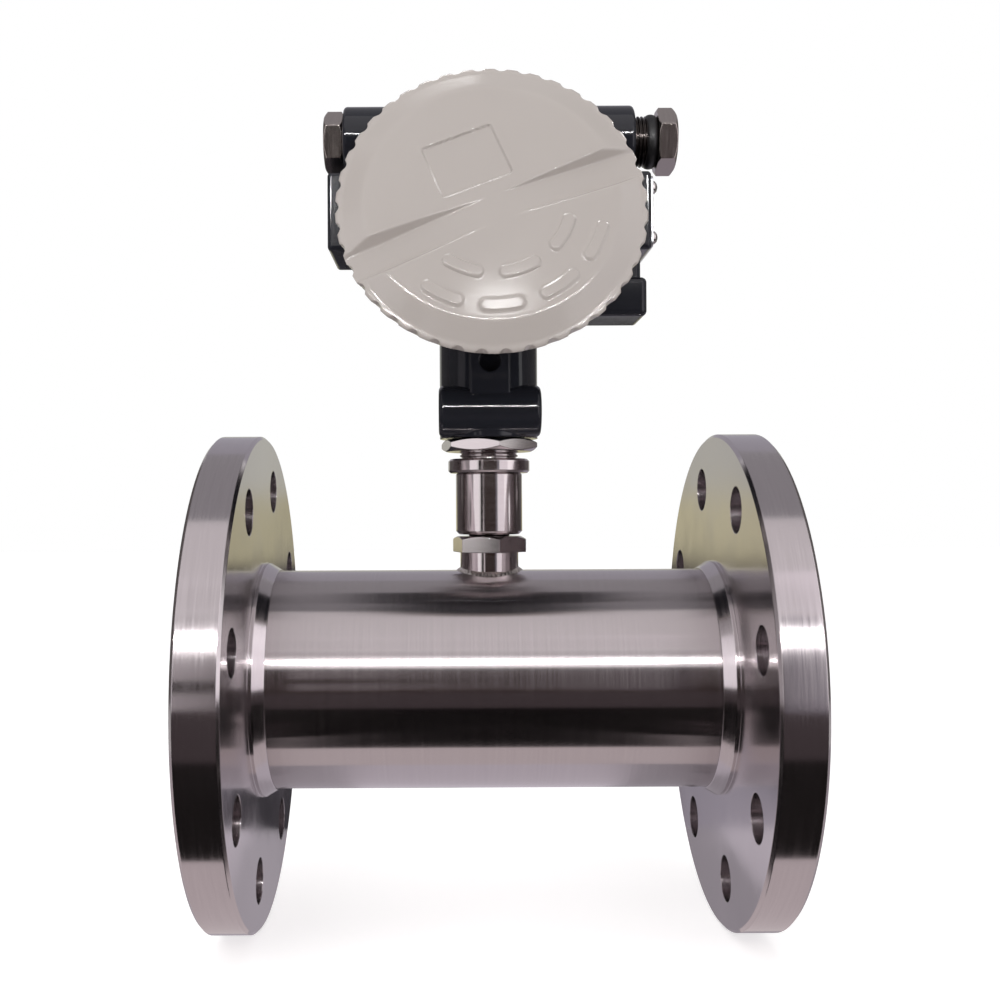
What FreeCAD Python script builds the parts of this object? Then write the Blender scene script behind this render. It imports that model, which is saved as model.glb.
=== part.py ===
import FreeCAD, Part
import math
import os

# Inline flanged turbine flow meter, in millimetres.
# The origin is the centre of the inlet sealing face on the pipe axis, +X is the flow
# direction and +Z points at the terminal head. The meter is a flanged tube with a rotor
# between two vaned supports, a magnetic pickup in a sleeve on top of the tube, and a cast
# terminal head with a screwed front cover and two screwed plugs.

V = FreeCAD.Vector

# Pipe run
face_to_face = 225.0
tube_outside = 89.0
bore = 80.0
throat_bore = 78.0
throat_length = 37.0

# Flanges
flange_outside = 200.0
flange_thickness = 20.0
raised_face_outside = 138.0
raised_face_height = 3.0
bolt_circle = 160.0
bolt_hole = 18.0
bolt_count = 8
first_bolt_angle = 14.5
hub_ring_outside = 95.5
hub_ring_length = 6.0
hub_ring_land = 1.5
hub_ring_toe = 0.4
flange_chamfer = 1.2

# Supports that carry the rotor
vane_count = 4
vane_thickness = 2.0
vane_setback = 2.0
vane_root_sink = 1.0
vane_tip_sink = 0.5
hub_outside = 36.0
support_rim_wall = 2.4
support_rim_length = 39.0
nose_length = 15.0
nose_setback = 1.2
ring_groove_depth = 1.7
ring_thickness = 1.8
ring_lug_radius = 2.6
ring_lug_hole = 2.2
ring_opening = 16.0
ring_inner_step = 0.6
ring_lug_angle = 2.0

# Rotor and its bearings
blade_count = 8
blade_thickness = 1.8
blade_length = 20.0
blade_twist = 26.0
blade_tip_gap = 0.6
blade_sections = 5
rotor_hub_overhang = 3.0
rotor_hub_gap = 0.8
rotor_chamfer = 0.8
shaft_diameter = 4.0
shaft_chamfer = 0.4
bush_outside = 8.0
bush_length = 12.0
thrust_pad_thickness = 2.0

# Welded sensor boss, sleeve and pickup
boss_outside = 24.0
boss_top = 52.0
boss_floor = 1.6
weld_leg = 3.2
weld_toe = 0.4
weld_shoulder = 1.2
weld_crest = 0.9
stem_diameter = 18.0
stem_floor = 0.8
stem_relief = 0.4
jam_nut_flats = 27.0
jam_nut_height = 6.5
jam_nut_turn = 13.6
sleeve_diameter = 27.4
sleeve_bottom = 59.3
sleeve_chamfer = 1.4
collar_diameter = 33.6
collar_bottom = 84.6
collar_height = 5.7
collar_chamfer = 0.9
spigot_length = 5.0
pickup_bore = 13.0
coil_length = 12.0
bobbin_flange = 1.0
bobbin_wall = 0.8
pole_diameter = 5.0
magnet_diameter = 9.0
magnet_length = 9.0
preamp_ledge = 66.0
sleeve_wall = 3.2
board_thickness = 1.6
adapter_bore = 12.0
adapter_thread = 24.0
adapter_relief = 0.7
adapter_relief_length = 0.6
adapter_lead_in = 1.5
adapter_lead_in_length = 1.0
adapter_thread_length = 20.0
small_pitch = 1.5

# Lock nut under the head
lock_nut_flats = 36.0
lock_nut_bottom = 93.4
lock_nut_height = 5.0
lock_nut_turn = 10.5
lock_seal_width = 2.3
lock_seal_height = 1.5

# Cast head: neck, bowl, shoulders and bosses
neck_diameter = 40.4
neck_inside = 18.0
neck_pad_width = 16.0
neck_pad_height = 0.7
neck_pad_lift = 6.0
neck_pad_top_drop = 30.0
neck_pad_round = 0.6
neck_hole = 8.6
neck_hole_height = 128.7
neck_hole_depth = 7.5
clamp_boss_diameter = 20.8
clamp_boss_length = 41.0
clamp_boss_forward = 13.0
clamp_boss_round = 2.0
cover_tilt = 14.0
cover_centre_forward = 50.0
cover_centre_height = 183.1
bowl_front_radius = 55.4
bowl_slope = 0.4
bowl_depth = 74.0
bowl_back_round = 14.0
bowl_wall = 5.0
bowl_floor_wall = 9.0
chamber_step = 1.0
shoulder_half_width = 60.5
shoulder_front = 27.0
shoulder_back = 22.0
shoulder_drop = 13.0
shoulder_height = 34.0
shoulder_round = 7.0
shoulder_wall = 4.5
shoulder_back_wall = 8.5
crown_half_width = 47.0
crown_front = 23.0
crown_back = 17.0
crown_rise = 8.0
crown_round = 11.0
pad_half_width = 64.0
pad_front = 25.0
pad_back = 15.0
pad_height = 31.0
pad_lift = 1.0
pad_sink = 6.0
pad_round = 1.6
lug_reach = 62.5
lug_front = 22.0
lug_back = 6.0
lug_bottom = 146.2
lug_height = 15.5
lug_round = 2.2
web_inset = 3.0
web_step = 2.0
lug_hole = 4.2
lug_hole_depth = 9.0
conduit_diameter = 28.4
conduit_half_length = 58.0
conduit_forward = 12.0
conduit_height = 218.0
conduit_round = 1.5
conduit_passage = 18.0

# Cover
cover_face_radius = 56.0
cover_crest_radius = 58.7
cover_back_radius = 56.4
cover_flange_depth = 7.0
cover_bevel_rise = 3.9
cover_flat_radius = 47.6
cover_thread = 94.0
cover_pitch = 2.0
cover_skirt_length = 11.0
cover_skirt_wall = 5.0
cover_wall = 5.4
cover_skirt_lead_in = 1.5
cover_relief = 1.0
cover_thread_end = 0.4
cover_back_chamfer = 0.6
cover_back_land = 0.8
cover_crest_land = 1.0
cover_edge_round = 0.7
scallop_count = 42
scallop_depth = 1.6
scallop_cutter_radius = 2.6
scallop_length = 5.4
wrench_groove_width = 12.5
wrench_groove_angle = 22.0
wrench_groove_start = 12.0
wrench_groove_depth = 4.2
wrench_groove_draft = 35.0
panel_width = 29.0
panel_height = 21.5
panel_depth = 0.8
panel_across = -10.3
panel_up = 19.9
panel_round = 1.2
rib_height = 0.8
rib_width = 4.6
inner_rib_radius = 29.3
outer_rib_radius = 41.8
rib_start = 232.0
rib_end = 348.0
inner_rib_count = 3
outer_rib_count = 4
rib_gap = 6.0
rib_sink = 0.5
seal_section = 3.0
seal_bore_gap = 0.5

# Plugs in the conduit entries
plug_thread = 20.0
plug_thread_length = 12.0
plug_neck_length = 4.2
plug_neck_diameter = 15.2
plug_flats = 24.0
plug_head_height = 8.6
plug_seal_outside = 23.4
plug_seal_section = 3.8
plug_open_turns = 5.5
entry_runout = 1.0

# Nameplate and its rivets
plate_thickness = 0.8
plate_margin = 1.5
plate_round = 2.0
rivet_diameter = 5.4
rivet_rise = 2.2
rivet_shank = 3.0
rivet_shank_length = 3.4
rivet_inset = 4.0

# Electronics in the head
board_radius = 34.0
board_depth = 34.0
standoff_count = 3
standoff_circle = 24.0
standoff_flats = 6.0
standoff_stud = 3.0
screw_thread = 3.0
screw_head = 5.6
screw_head_height = 2.2
screw_length = 8.0
screw_slot = 0.8
screw_slot_depth = 1.0
screw_end_gap = 1.0
terminal_count = 6
terminal_pitch = 7.6
terminal_width = 14.0
terminal_height = 11.0
terminal_up = 1.0
terminal_screw = 4.4
terminal_screw_length = 3.2
terminal_screw_up = 1.5
terminal_well_depth = 4.0
wire_hole = 3.4
wire_hole_length = 7.0
wire_hole_rise = 4.4
capacitor_diameter = 8.0
capacitor_height = 9.0
capacitor_across = -11.0
capacitor_up = -17.0
chip_size = 10.0
chip_height = 2.4
chip_across = -2.0
chip_up = -24.0
trimmer_size = 6.5
trimmer_height = 5.0
trimmer_across = 11.0
trimmer_up = -26.0
lead_diameter = 5.0
lead_bend = 12.0
lead_corner_up = -16.0
socket_size = 12.0
socket_height = 6.0
earth_post_across = -31.0
earth_post_up = 15.0
earth_post_diameter = 8.0
earth_post_depth = 31.0
earth_post_notch = 0.6

# Clearances
press_gap = 0.01
weld_gap = 0.05
bearing_gap = 0.04
thread_gap = 0.3
fixed_thread_gap = 0.05
seat_gap = 0.3
slip_gap = 0.1

# Shapes shared by all threads and hexagons, as shares of the pitch and of the flats
thread_depth_share = 0.55
thread_flank_share = 0.35
hexagon_face_share = 0.97
hexagon_chamfer_slope = 0.5

# How far a cutter runs past the face that it opens
overshoot = 1.0
trough_overshoot = 6.0

# Places worked out from the sizes above
middle = face_to_face / 2
tube_radius = tube_outside / 2
bore_radius = bore / 2
throat_radius = throat_bore / 2
hub_radius = hub_outside / 2
shoulder_step = middle - throat_length / 2
rim_start = shoulder_step - support_rim_length
ring_start = rim_start - slip_gap - ring_thickness
groove_radius = bore_radius + ring_groove_depth
rotor_half_length = blade_length / 2 + rotor_hub_overhang
support_hub_end = middle - rotor_half_length - rotor_hub_gap
support_hub_start = rim_start + nose_setback
blade_tip_radius = throat_radius - blade_tip_gap
shaft_half_length = middle - support_hub_end + bush_length - seat_gap
jam_nut_bottom = boss_top
boss_bore_floor = throat_radius + boss_floor
stem_bottom = boss_bore_floor + slip_gap
pickup_floor = stem_bottom + stem_floor
sleeve_cavity_radius = sleeve_diameter / 2 - sleeve_wall
collar_top = collar_bottom + collar_height
adapter_top = lock_nut_bottom + adapter_thread_length
neck_bottom = lock_nut_bottom + lock_nut_height + seat_gap
clamp_boss_centre = neck_bottom + clamp_boss_diameter / 2
bowl_front = cover_flange_depth + seat_gap
cover_thread_radius = cover_thread / 2
skirt_end = cover_flange_depth + cover_skirt_length
seal_radius = cover_thread_radius + seal_bore_gap + seal_section / 2
seal_depth = cover_flange_depth + seat_gap + seal_section / 2
cavity_floor = bowl_depth - bowl_floor_wall - bowl_wall
shoulder_top = conduit_height - shoulder_drop
shoulder_bottom = shoulder_top - shoulder_height
crown_top = conduit_height + crown_rise
pad_bottom = shoulder_bottom + pad_lift
neck_top = shoulder_bottom + shoulder_round + web_step
lug_top = lug_bottom + lug_height
plug_seal_radius = (plug_seal_outside - plug_seal_section) / 2
plug_reach = plug_neck_length + plug_thread_length
right_plug_out = plug_open_turns * small_pitch
lead_end_up = lead_corner_up + lead_bend * (1 - math.sin(math.radians(cover_tilt)))

# The cover, the bowl behind it and the board share one axis, tilted up towards the reader.
head_frame = FreeCAD.Placement(
    V(middle, -cover_centre_forward, cover_centre_height),
    FreeCAD.Rotation(V(1, 0, 0), 90.0 - cover_tilt),
)


def turned(outline, base, axis):
    """Solid of revolution; outline holds (distance along the axis, radius) pairs."""
    corners = [V(radius, 0, distance) for distance, radius in outline]
    face = Part.Face(Part.makePolygon(corners + [corners[0]]))
    solid = face.revolve(V(0, 0, 0), V(0, 0, 1), 360)
    solid.Placement = FreeCAD.Placement(base, FreeCAD.Rotation(V(0, 0, 1), axis))
    return solid


def on_pipe(outline):
    """Turned piece on the pipe axis, distances along +X."""
    return turned(outline, V(0, 0, 0), V(1, 0, 0))


def on_neck(outline):
    """Turned piece on the vertical sensor axis, distances up +Z."""
    return turned(outline, V(middle, 0, 0), V(0, 0, 1))


def on_head(shape):
    """Moves a piece modelled about the cover's axis (+Z outwards) to its place."""
    moved = shape.copy()
    moved.Placement = head_frame.multiply(shape.Placement)
    return moved


def thread_profile(start, end, radius, pitch):
    """Zigzag of ring-shaped thread crests from start to end along an axis."""
    steps = max(1, int(abs(end - start) / pitch))
    pitch_used = (end - start) / steps
    root = radius - thread_depth_share * pitch
    points = []
    for turn in range(steps):
        points.append((start + turn * pitch_used, root))
        points.append((start + (turn + thread_flank_share) * pitch_used, radius))
        points.append((start + (turn + 1 - thread_flank_share) * pitch_used, radius))
    points.append((end, root))
    return points


def hexagon(flats, bottom, top, chamfer_bottom, chamfer_top, turn):
    """Hexagonal prism on the Z axis with turned chamfers on its two ends."""
    corner = flats / math.sqrt(3)
    spots = []
    for k in range(6):
        angle = math.radians(turn + 60 * k)
        spots.append(V(corner * math.cos(angle), corner * math.sin(angle), bottom))
    prism = Part.Face(Part.makePolygon(spots + [spots[0]])).extrude(V(0, 0, top - bottom))
    inner = flats / 2 * hexagon_face_share
    wide = corner + overshoot
    outline = [(bottom, 0), (bottom, inner if chamfer_bottom else wide)]
    if chamfer_bottom:
        outline.append((bottom + (wide - inner) * hexagon_chamfer_slope, wide))
    if chamfer_top:
        outline.append((top - (wide - inner) * hexagon_chamfer_slope, wide))
    outline += [(top, inner if chamfer_top else wide), (top, 0)]
    return prism.common(turned(outline, V(0, 0, 0), V(0, 0, 1)))


def rounded_box(low, high, radius):
    """Box between two corners with every edge rounded."""
    box = Part.makeBox(high.x - low.x, high.y - low.y, high.z - low.z, low)
    return box.makeFillet(radius, box.Edges)


def downstream(shape):
    """Mirror image of an upstream piece about the rotor's middle plane."""
    return shape.mirror(V(middle, 0, 0), V(1, 0, 0))


def body_tube():
    """Tube with a narrower throat for the rotor, two ring grooves and the boss hole."""
    tube = on_pipe([
        (0, bore_radius),
        (0, tube_radius),
        (face_to_face, tube_radius),
        (face_to_face, bore_radius),
        (face_to_face - shoulder_step, bore_radius),
        (face_to_face - shoulder_step, throat_radius),
        (shoulder_step, throat_radius),
        (shoulder_step, bore_radius),
    ])
    groove_start = ring_start - slip_gap
    groove_end = rim_start
    groove = on_pipe([
        (groove_start, bore_radius - overshoot),
        (groove_start, groove_radius + slip_gap),
        (groove_end, groove_radius + slip_gap),
        (groove_end, bore_radius - overshoot),
    ])
    boss_hole = Part.makeCylinder(
        boss_outside / 2 + slip_gap, tube_radius + overshoot, V(middle, 0, 0), V(0, 0, 1)
    )
    return tube.cut(groove).cut(downstream(groove)).cut(boss_hole)


def inlet_flange():
    """Flange disc with raised face, hub ring towards the tube and the bolt holes."""
    inside = tube_radius + weld_gap
    outside = flange_outside / 2
    disc = on_pipe([
        (0, inside),
        (0, raised_face_outside / 2),
        (raised_face_height, raised_face_outside / 2),
        (raised_face_height, outside - flange_chamfer),
        (raised_face_height + flange_chamfer, outside),
        (flange_thickness - flange_chamfer, outside),
        (flange_thickness, outside - flange_chamfer),
        (flange_thickness, hub_ring_outside / 2),
        (flange_thickness + hub_ring_land, hub_ring_outside / 2),
        (flange_thickness + hub_ring_length, inside + hub_ring_toe),
        (flange_thickness + hub_ring_length, inside),
    ])
    for k in range(bolt_count):
        angle = math.radians(180 - first_bolt_angle + 360 * k / bolt_count)
        centre = V(-overshoot, bolt_circle / 2 * math.cos(angle), bolt_circle / 2 * math.sin(angle))
        hole = Part.makeCylinder(bolt_hole / 2, flange_thickness + 2 * overshoot, centre, V(1, 0, 0))
        disc = disc.cut(hole)
    return disc


def upstream_support():
    """Streamlined hub on straight vanes inside a thin rim, bored for the bearing bush."""
    start = support_hub_start
    cap_radius = (hub_radius ** 2 + nose_length ** 2) / (2 * nose_length)
    half_angle = math.asin(hub_radius / cap_radius) / 2
    middle_point = V(
        start + cap_radius * (1 - math.cos(half_angle)), 0, cap_radius * math.sin(half_angle)
    )
    tip = V(start, 0, 0)
    nose_end = V(start + nose_length, 0, hub_radius)
    far_edge = V(support_hub_end, 0, hub_radius)
    far_axis = V(support_hub_end, 0, 0)
    outline = Part.Wire([
        Part.Arc(tip, middle_point, nose_end).toShape(),
        Part.LineSegment(nose_end, far_edge).toShape(),
        Part.LineSegment(far_edge, far_axis).toShape(),
        Part.LineSegment(far_axis, tip).toShape(),
    ])
    hub = Part.Face(outline).revolve(V(0, 0, 0), V(1, 0, 0), 360)
    rim_outside = bore_radius - slip_gap / 2
    rim_inside = bore_radius - support_rim_wall
    support = hub.fuse(on_pipe([
        (rim_start, rim_inside),
        (rim_start, rim_outside),
        (shoulder_step, rim_outside),
        (shoulder_step, rim_inside),
    ]))
    vane_start = start + nose_length + vane_setback
    vane_end = shoulder_step - vane_setback
    for k in range(vane_count):
        vane = Part.makeBox(
            vane_end - vane_start,
            vane_thickness,
            rim_inside - hub_radius + vane_root_sink + vane_tip_sink,
            V(vane_start, -vane_thickness / 2, hub_radius - vane_root_sink),
        )
        vane.rotate(V(0, 0, 0), V(1, 0, 0), 360 * (k + 0.5) / vane_count)
        support = support.fuse(vane)
    pocket = Part.makeCylinder(
        bush_outside / 2 + press_gap,
        bush_length + thrust_pad_thickness,
        V(support_hub_end - bush_length - thrust_pad_thickness, 0, 0),
        V(1, 0, 0),
    )
    return support.cut(pocket).removeSplitter()


def upstream_bush():
    """Plain bearing bush flush with the end of the support's hub."""
    hole = shaft_diameter / 2 + bearing_gap
    return on_pipe([
        (support_hub_end - bush_length, hole),
        (support_hub_end - bush_length, bush_outside / 2),
        (support_hub_end, bush_outside / 2),
        (support_hub_end, hole),
    ])


def upstream_thrust_pad():
    """Disc behind the bush that takes the shaft's end load."""
    end = support_hub_end - bush_length
    return on_pipe([
        (end - thrust_pad_thickness, 0),
        (end - thrust_pad_thickness, bush_outside / 2),
        (end, bush_outside / 2),
        (end, 0),
    ])


def inlet_retaining_ring():
    """Open spring ring with two plier lugs, seated in the bore's groove."""
    inside = bore_radius - support_rim_wall + ring_inner_step
    ring = on_pipe([
        (ring_start, inside),
        (ring_start, groove_radius),
        (ring_start + ring_thickness, groove_radius),
        (ring_start + ring_thickness, inside),
    ])
    half_angle = math.degrees(math.asin(ring_opening / 2 / bore_radius))
    ring = ring.cut(Part.makeBox(
        ring_thickness + 2 * overshoot,
        ring_opening,
        groove_radius + overshoot,
        V(ring_start - overshoot, -ring_opening / 2, 0),
    ))
    for side in (-1, 1):
        angle = math.radians(90 + side * (half_angle + ring_lug_angle))
        reach = inside + 2 * slip_gap
        spot = V(ring_start, reach * math.cos(angle), reach * math.sin(angle))
        lug = Part.makeCylinder(ring_lug_radius, ring_thickness, spot, V(1, 0, 0))
        hole = Part.makeCylinder(
            ring_lug_hole / 2, ring_thickness + 2 * overshoot, spot - V(overshoot, 0, 0), V(1, 0, 0)
        )
        ring = ring.fuse(lug).cut(hole)
    return ring.removeSplitter()


def rotor_hub():
    """Chamfered hub, pressed on the shaft."""
    return on_pipe([
        (middle - rotor_half_length, shaft_diameter / 2 + press_gap),
        (middle - rotor_half_length, hub_radius - rotor_chamfer),
        (middle - rotor_half_length + rotor_chamfer, hub_radius),
        (middle + rotor_half_length - rotor_chamfer, hub_radius),
        (middle + rotor_half_length, hub_radius - rotor_chamfer),
        (middle + rotor_half_length, shaft_diameter / 2 + press_gap),
    ])


def blade(first_angle):
    """One helical blade, lofted through radial sections that turn as they go downstream."""
    low = hub_radius - overshoot
    high = blade_tip_radius + overshoot
    wires = []
    for station in range(blade_sections):
        share = station / (blade_sections - 1) - 0.5
        angle = math.radians(first_angle + blade_twist * share)
        across = V(0, -math.sin(angle), math.cos(angle)).multiply(blade_thickness / 2)
        out = V(0, math.cos(angle), math.sin(angle))
        centre = V(middle + blade_length * share, 0, 0)
        corners = [
            centre + out * low - across,
            centre + out * high - across,
            centre + out * high + across,
            centre + out * low + across,
        ]
        wires.append(Part.makePolygon(corners + [corners[0]]))
    return Part.makeLoft(wires, True, False)


def rotor_blades():
    """Blades welded round the hub, cut to its outside and to the tip circle."""
    start = middle - blade_length / 2 - overshoot
    length = blade_length + 2 * overshoot
    ring = on_pipe([
        (start, hub_radius + weld_gap),
        (start, blade_tip_radius),
        (start + length, blade_tip_radius),
        (start + length, hub_radius + weld_gap),
    ])
    return Part.makeCompound([blade(360 * k / blade_count).common(ring) for k in range(blade_count)])


def rotor_shaft():
    """Ground shaft through the rotor, running in both bushes."""
    radius = shaft_diameter / 2
    start = middle - shaft_half_length
    end = middle + shaft_half_length
    return on_pipe([
        (start, 0),
        (start, radius - shaft_chamfer),
        (start + shaft_chamfer, radius),
        (end - shaft_chamfer, radius),
        (end, radius - shaft_chamfer),
        (end, 0),
    ])


def sensor_boss():
    """Turned boss set through the tube wall, blind towards the flow."""
    radius = boss_outside / 2
    bottom = math.sqrt(throat_radius ** 2 - radius ** 2) - overshoot
    boss = on_neck([
        (bottom, 0),
        (bottom, radius),
        (boss_top, radius),
        (boss_top, stem_diameter / 2 + fixed_thread_gap),
        (boss_bore_floor, stem_diameter / 2 + fixed_thread_gap),
        (boss_bore_floor, 0),
    ])
    flow = Part.makeCylinder(throat_radius, 4 * radius, V(middle - 2 * radius, 0, 0), V(1, 0, 0))
    return boss.cut(flow)


def boss_weld():
    """Weld fillet around the boss, saddle shaped where it meets the tube."""
    radius = boss_outside / 2
    reach = radius + weld_leg
    dip = tube_radius - math.sqrt(tube_radius ** 2 - reach ** 2)
    cone = on_neck([
        (tube_radius - dip - overshoot, radius + weld_gap),
        (tube_radius - dip - overshoot, reach + overshoot),
        (tube_radius - dip + weld_toe, reach),
        (tube_radius + weld_leg - weld_shoulder, radius + weld_crest),
        (tube_radius + weld_leg, radius + weld_gap),
    ])
    tube = Part.makeCylinder(tube_radius + weld_gap, 4 * reach, V(middle - 2 * reach, 0, 0), V(1, 0, 0))
    return cone.cut(tube)


def placed_on_neck(shape):
    """Moves a piece modelled on the Z axis to the sensor axis."""
    moved = shape.copy()
    moved.translate(V(middle, 0, 0))
    return moved


def jam_nut():
    """Thin nut that locks the sleeve's stem in the boss."""
    top = jam_nut_bottom + jam_nut_height
    nut = hexagon(jam_nut_flats, jam_nut_bottom, top, False, True, 90 + jam_nut_turn)
    hole = Part.makeCylinder(
        stem_diameter / 2 + fixed_thread_gap,
        jam_nut_height + 2 * overshoot,
        V(0, 0, jam_nut_bottom - overshoot),
    )
    return placed_on_neck(nut.cut(hole))


def sensor_sleeve():
    """Turned sleeve: threaded stem with the pickup bore, and a wide cup for the preamplifier."""
    stem_radius = stem_diameter / 2
    cup_radius = sleeve_diameter / 2
    outline = [(stem_bottom, 0)]
    outline += thread_profile(stem_bottom, jam_nut_bottom + jam_nut_height, stem_radius, small_pitch)
    outline += [
        (sleeve_bottom, stem_radius - stem_relief),
        (sleeve_bottom, cup_radius - sleeve_chamfer),
        (sleeve_bottom + sleeve_chamfer, cup_radius),
        (collar_bottom - sleeve_chamfer / 2, cup_radius),
        (collar_bottom, cup_radius - sleeve_chamfer / 2),
        (collar_bottom, sleeve_cavity_radius),
        (preamp_ledge, sleeve_cavity_radius),
        (preamp_ledge, pickup_bore / 2),
        (pickup_floor, pickup_bore / 2),
        (pickup_floor, 0),
    ]
    return on_neck(outline)


def pickup_bobbin():
    """Flanged spool that carries the coil."""
    tube = pole_diameter / 2 + slip_gap
    waist = tube + bobbin_wall
    rim = pickup_bore / 2 - slip_gap
    bottom = pickup_floor
    top = bottom + coil_length + 2 * bobbin_flange
    return on_neck([
        (bottom, tube),
        (bottom, rim),
        (bottom + bobbin_flange, rim),
        (bottom + bobbin_flange, waist),
        (top - bobbin_flange, waist),
        (top - bobbin_flange, rim),
        (top, rim),
        (top, tube),
    ])


def pickup_coil():
    """Wound copper wire, as one ring between the spool's flanges."""
    waist = pole_diameter / 2 + slip_gap + bobbin_wall
    bottom = pickup_floor + bobbin_flange
    outside = pickup_bore / 2 - 3 * slip_gap
    return on_neck([
        (bottom, waist),
        (bottom, outside),
        (bottom + coil_length, outside),
        (bottom + coil_length, waist),
    ])


def pole_piece():
    """Soft iron pin through the coil, facing the blade tips."""
    top = pickup_floor + coil_length + 2 * bobbin_flange
    return on_neck([
        (pickup_floor, 0),
        (pickup_floor, pole_diameter / 2),
        (top, pole_diameter / 2),
        (top, 0),
    ])


def pickup_magnet():
    """Round magnet on top of the pole piece."""
    bottom = pickup_floor + coil_length + 2 * bobbin_flange
    top = min(bottom + magnet_length, preamp_ledge)
    return on_neck([
        (bottom, 0),
        (bottom, magnet_diameter / 2),
        (top, magnet_diameter / 2),
        (top, 0),
    ])


def preamp_board():
    """Round preamplifier board lying on the ledge in the sleeve's cup."""
    return on_neck([
        (preamp_ledge, 0),
        (preamp_ledge, sleeve_cavity_radius - slip_gap),
        (preamp_ledge + board_thickness, sleeve_cavity_radius - slip_gap),
        (preamp_ledge + board_thickness, 0),
    ])


def sleeve_adapter():
    """Collar that closes the sleeve and carries the head on its outside thread."""
    inside = adapter_bore / 2
    outline = [
        (collar_bottom - spigot_length, inside),
        (collar_bottom - spigot_length, sleeve_cavity_radius - slip_gap),
        (collar_bottom, sleeve_cavity_radius - slip_gap),
        (collar_bottom, collar_diameter / 2 - collar_chamfer),
        (collar_bottom + collar_chamfer, collar_diameter / 2),
        (collar_top - collar_chamfer, collar_diameter / 2),
        (collar_top, collar_diameter / 2 - collar_chamfer),
        (collar_top, adapter_thread / 2 - adapter_relief),
    ]
    outline += thread_profile(
        collar_top + adapter_relief_length,
        adapter_top - adapter_lead_in_length,
        adapter_thread / 2,
        small_pitch,
    )
    outline += [(adapter_top, adapter_thread / 2 - adapter_lead_in), (adapter_top, inside)]
    return on_neck(outline)


def lock_nut():
    """Nut that locks the head's angle, recessed on top for its sealing ring."""
    top = lock_nut_bottom + lock_nut_height
    nut = hexagon(lock_nut_flats, lock_nut_bottom, top, True, True, 90 + lock_nut_turn)
    hole_radius = adapter_thread / 2 + thread_gap
    hole = Part.makeCylinder(
        hole_radius, lock_nut_height + 2 * overshoot, V(0, 0, lock_nut_bottom - overshoot)
    )
    recess_radius = hole_radius + lock_seal_width + 2 * seat_gap
    recess_depth = lock_seal_height + seat_gap
    recess = Part.makeCylinder(recess_radius, recess_depth + overshoot, V(0, 0, top - recess_depth))
    return placed_on_neck(nut.cut(hole).cut(recess))


def lock_nut_seal():
    """Flat rubber ring in the lock nut's recess."""
    inside = adapter_thread / 2 + thread_gap + seat_gap
    top = lock_nut_bottom + lock_nut_height
    return on_neck([
        (top - lock_seal_height, inside),
        (top - lock_seal_height, inside + lock_seal_width),
        (top, inside + lock_seal_width),
        (top, inside),
    ])


def bowl_radius(depth):
    """Outside radius of the bowl at a depth behind the cover's face edge."""
    return bowl_front_radius - bowl_slope * (depth - bowl_front)


def cone_on_head(near, near_radius, far, far_radius):
    """Cone about the cover's axis between two depths behind the face edge."""
    cone = turned(
        [(-near, 0), (-near, near_radius), (-far, far_radius), (-far, 0)], V(0, 0, 0), V(0, 0, 1)
    )
    return on_head(cone)


def round_bar_x(half_length, diameter, forward, height, edge):
    """Horizontal round bar along X, with rounded end edges."""
    bar = Part.makeCylinder(
        diameter / 2, 2 * half_length, V(middle - half_length, -forward, height), V(1, 0, 0)
    )
    rims = [e for e in bar.Edges if len(e.Vertexes) == 1]
    return bar.makeFillet(edge, rims)


def housing_outside():
    """Outer form of the casting: bowl, shoulders, pads, lug, neck and the two round bosses."""
    bowl = turned(
        [
            (-bowl_front, 0),
            (-bowl_front, bowl_front_radius),
            (-bowl_depth, bowl_radius(bowl_depth)),
            (-bowl_depth, 0),
        ],
        V(0, 0, 0),
        V(0, 0, 1),
    )
    back_rim = [e for e in bowl.Edges if abs(e.BoundBox.ZMax + bowl_depth) < 0.01 and e.Length > 10]
    bowl = on_head(bowl.makeFillet(bowl_back_round, back_rim))
    shoulders = rounded_box(
        V(middle - shoulder_half_width, -shoulder_front, shoulder_bottom),
        V(middle + shoulder_half_width, shoulder_back, shoulder_top),
        shoulder_round,
    )
    crown = rounded_box(
        V(middle - crown_half_width, -crown_front, shoulder_bottom + shoulder_round),
        V(middle + crown_half_width, crown_back, crown_top),
        crown_round,
    )
    casting = bowl.fuse(shoulders).fuse(crown)
    for side in (-1, 1):
        inner = middle + side * (shoulder_half_width - pad_sink)
        outer = middle + side * pad_half_width
        pad = rounded_box(
            V(min(inner, outer), -pad_front, pad_bottom),
            V(max(inner, outer), pad_back, pad_bottom + pad_height),
            pad_round,
        )
        casting = casting.fuse(pad)
    lug = rounded_box(
        V(middle + lug_reach / 2, -lug_front, lug_bottom),
        V(middle + lug_reach, lug_back, lug_top),
        lug_round,
    )
    web = rounded_box(
        V(middle + lug_reach / 2, -lug_front + web_inset, lug_bottom + web_inset),
        V(middle + lug_reach - web_step, lug_back - web_inset, neck_top),
        lug_round,
    )
    neck = Part.makeCylinder(neck_diameter / 2, neck_top - neck_bottom, V(middle, 0, neck_bottom))
    neck_pad = rounded_box(
        V(middle - neck_pad_width / 2, -neck_diameter / 2 - neck_pad_height, neck_bottom + neck_pad_lift),
        V(middle + neck_pad_width / 2, 0, cover_centre_height - neck_pad_top_drop),
        neck_pad_round,
    )
    conduit = round_bar_x(
        conduit_half_length, conduit_diameter, conduit_forward, conduit_height, conduit_round
    )
    clamp_boss = round_bar_x(
        clamp_boss_length / 2, clamp_boss_diameter, clamp_boss_forward, clamp_boss_centre, clamp_boss_round
    )
    for piece in (lug, web, neck, neck_pad, conduit, clamp_boss):
        casting = casting.fuse(piece)
    return casting


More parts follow.
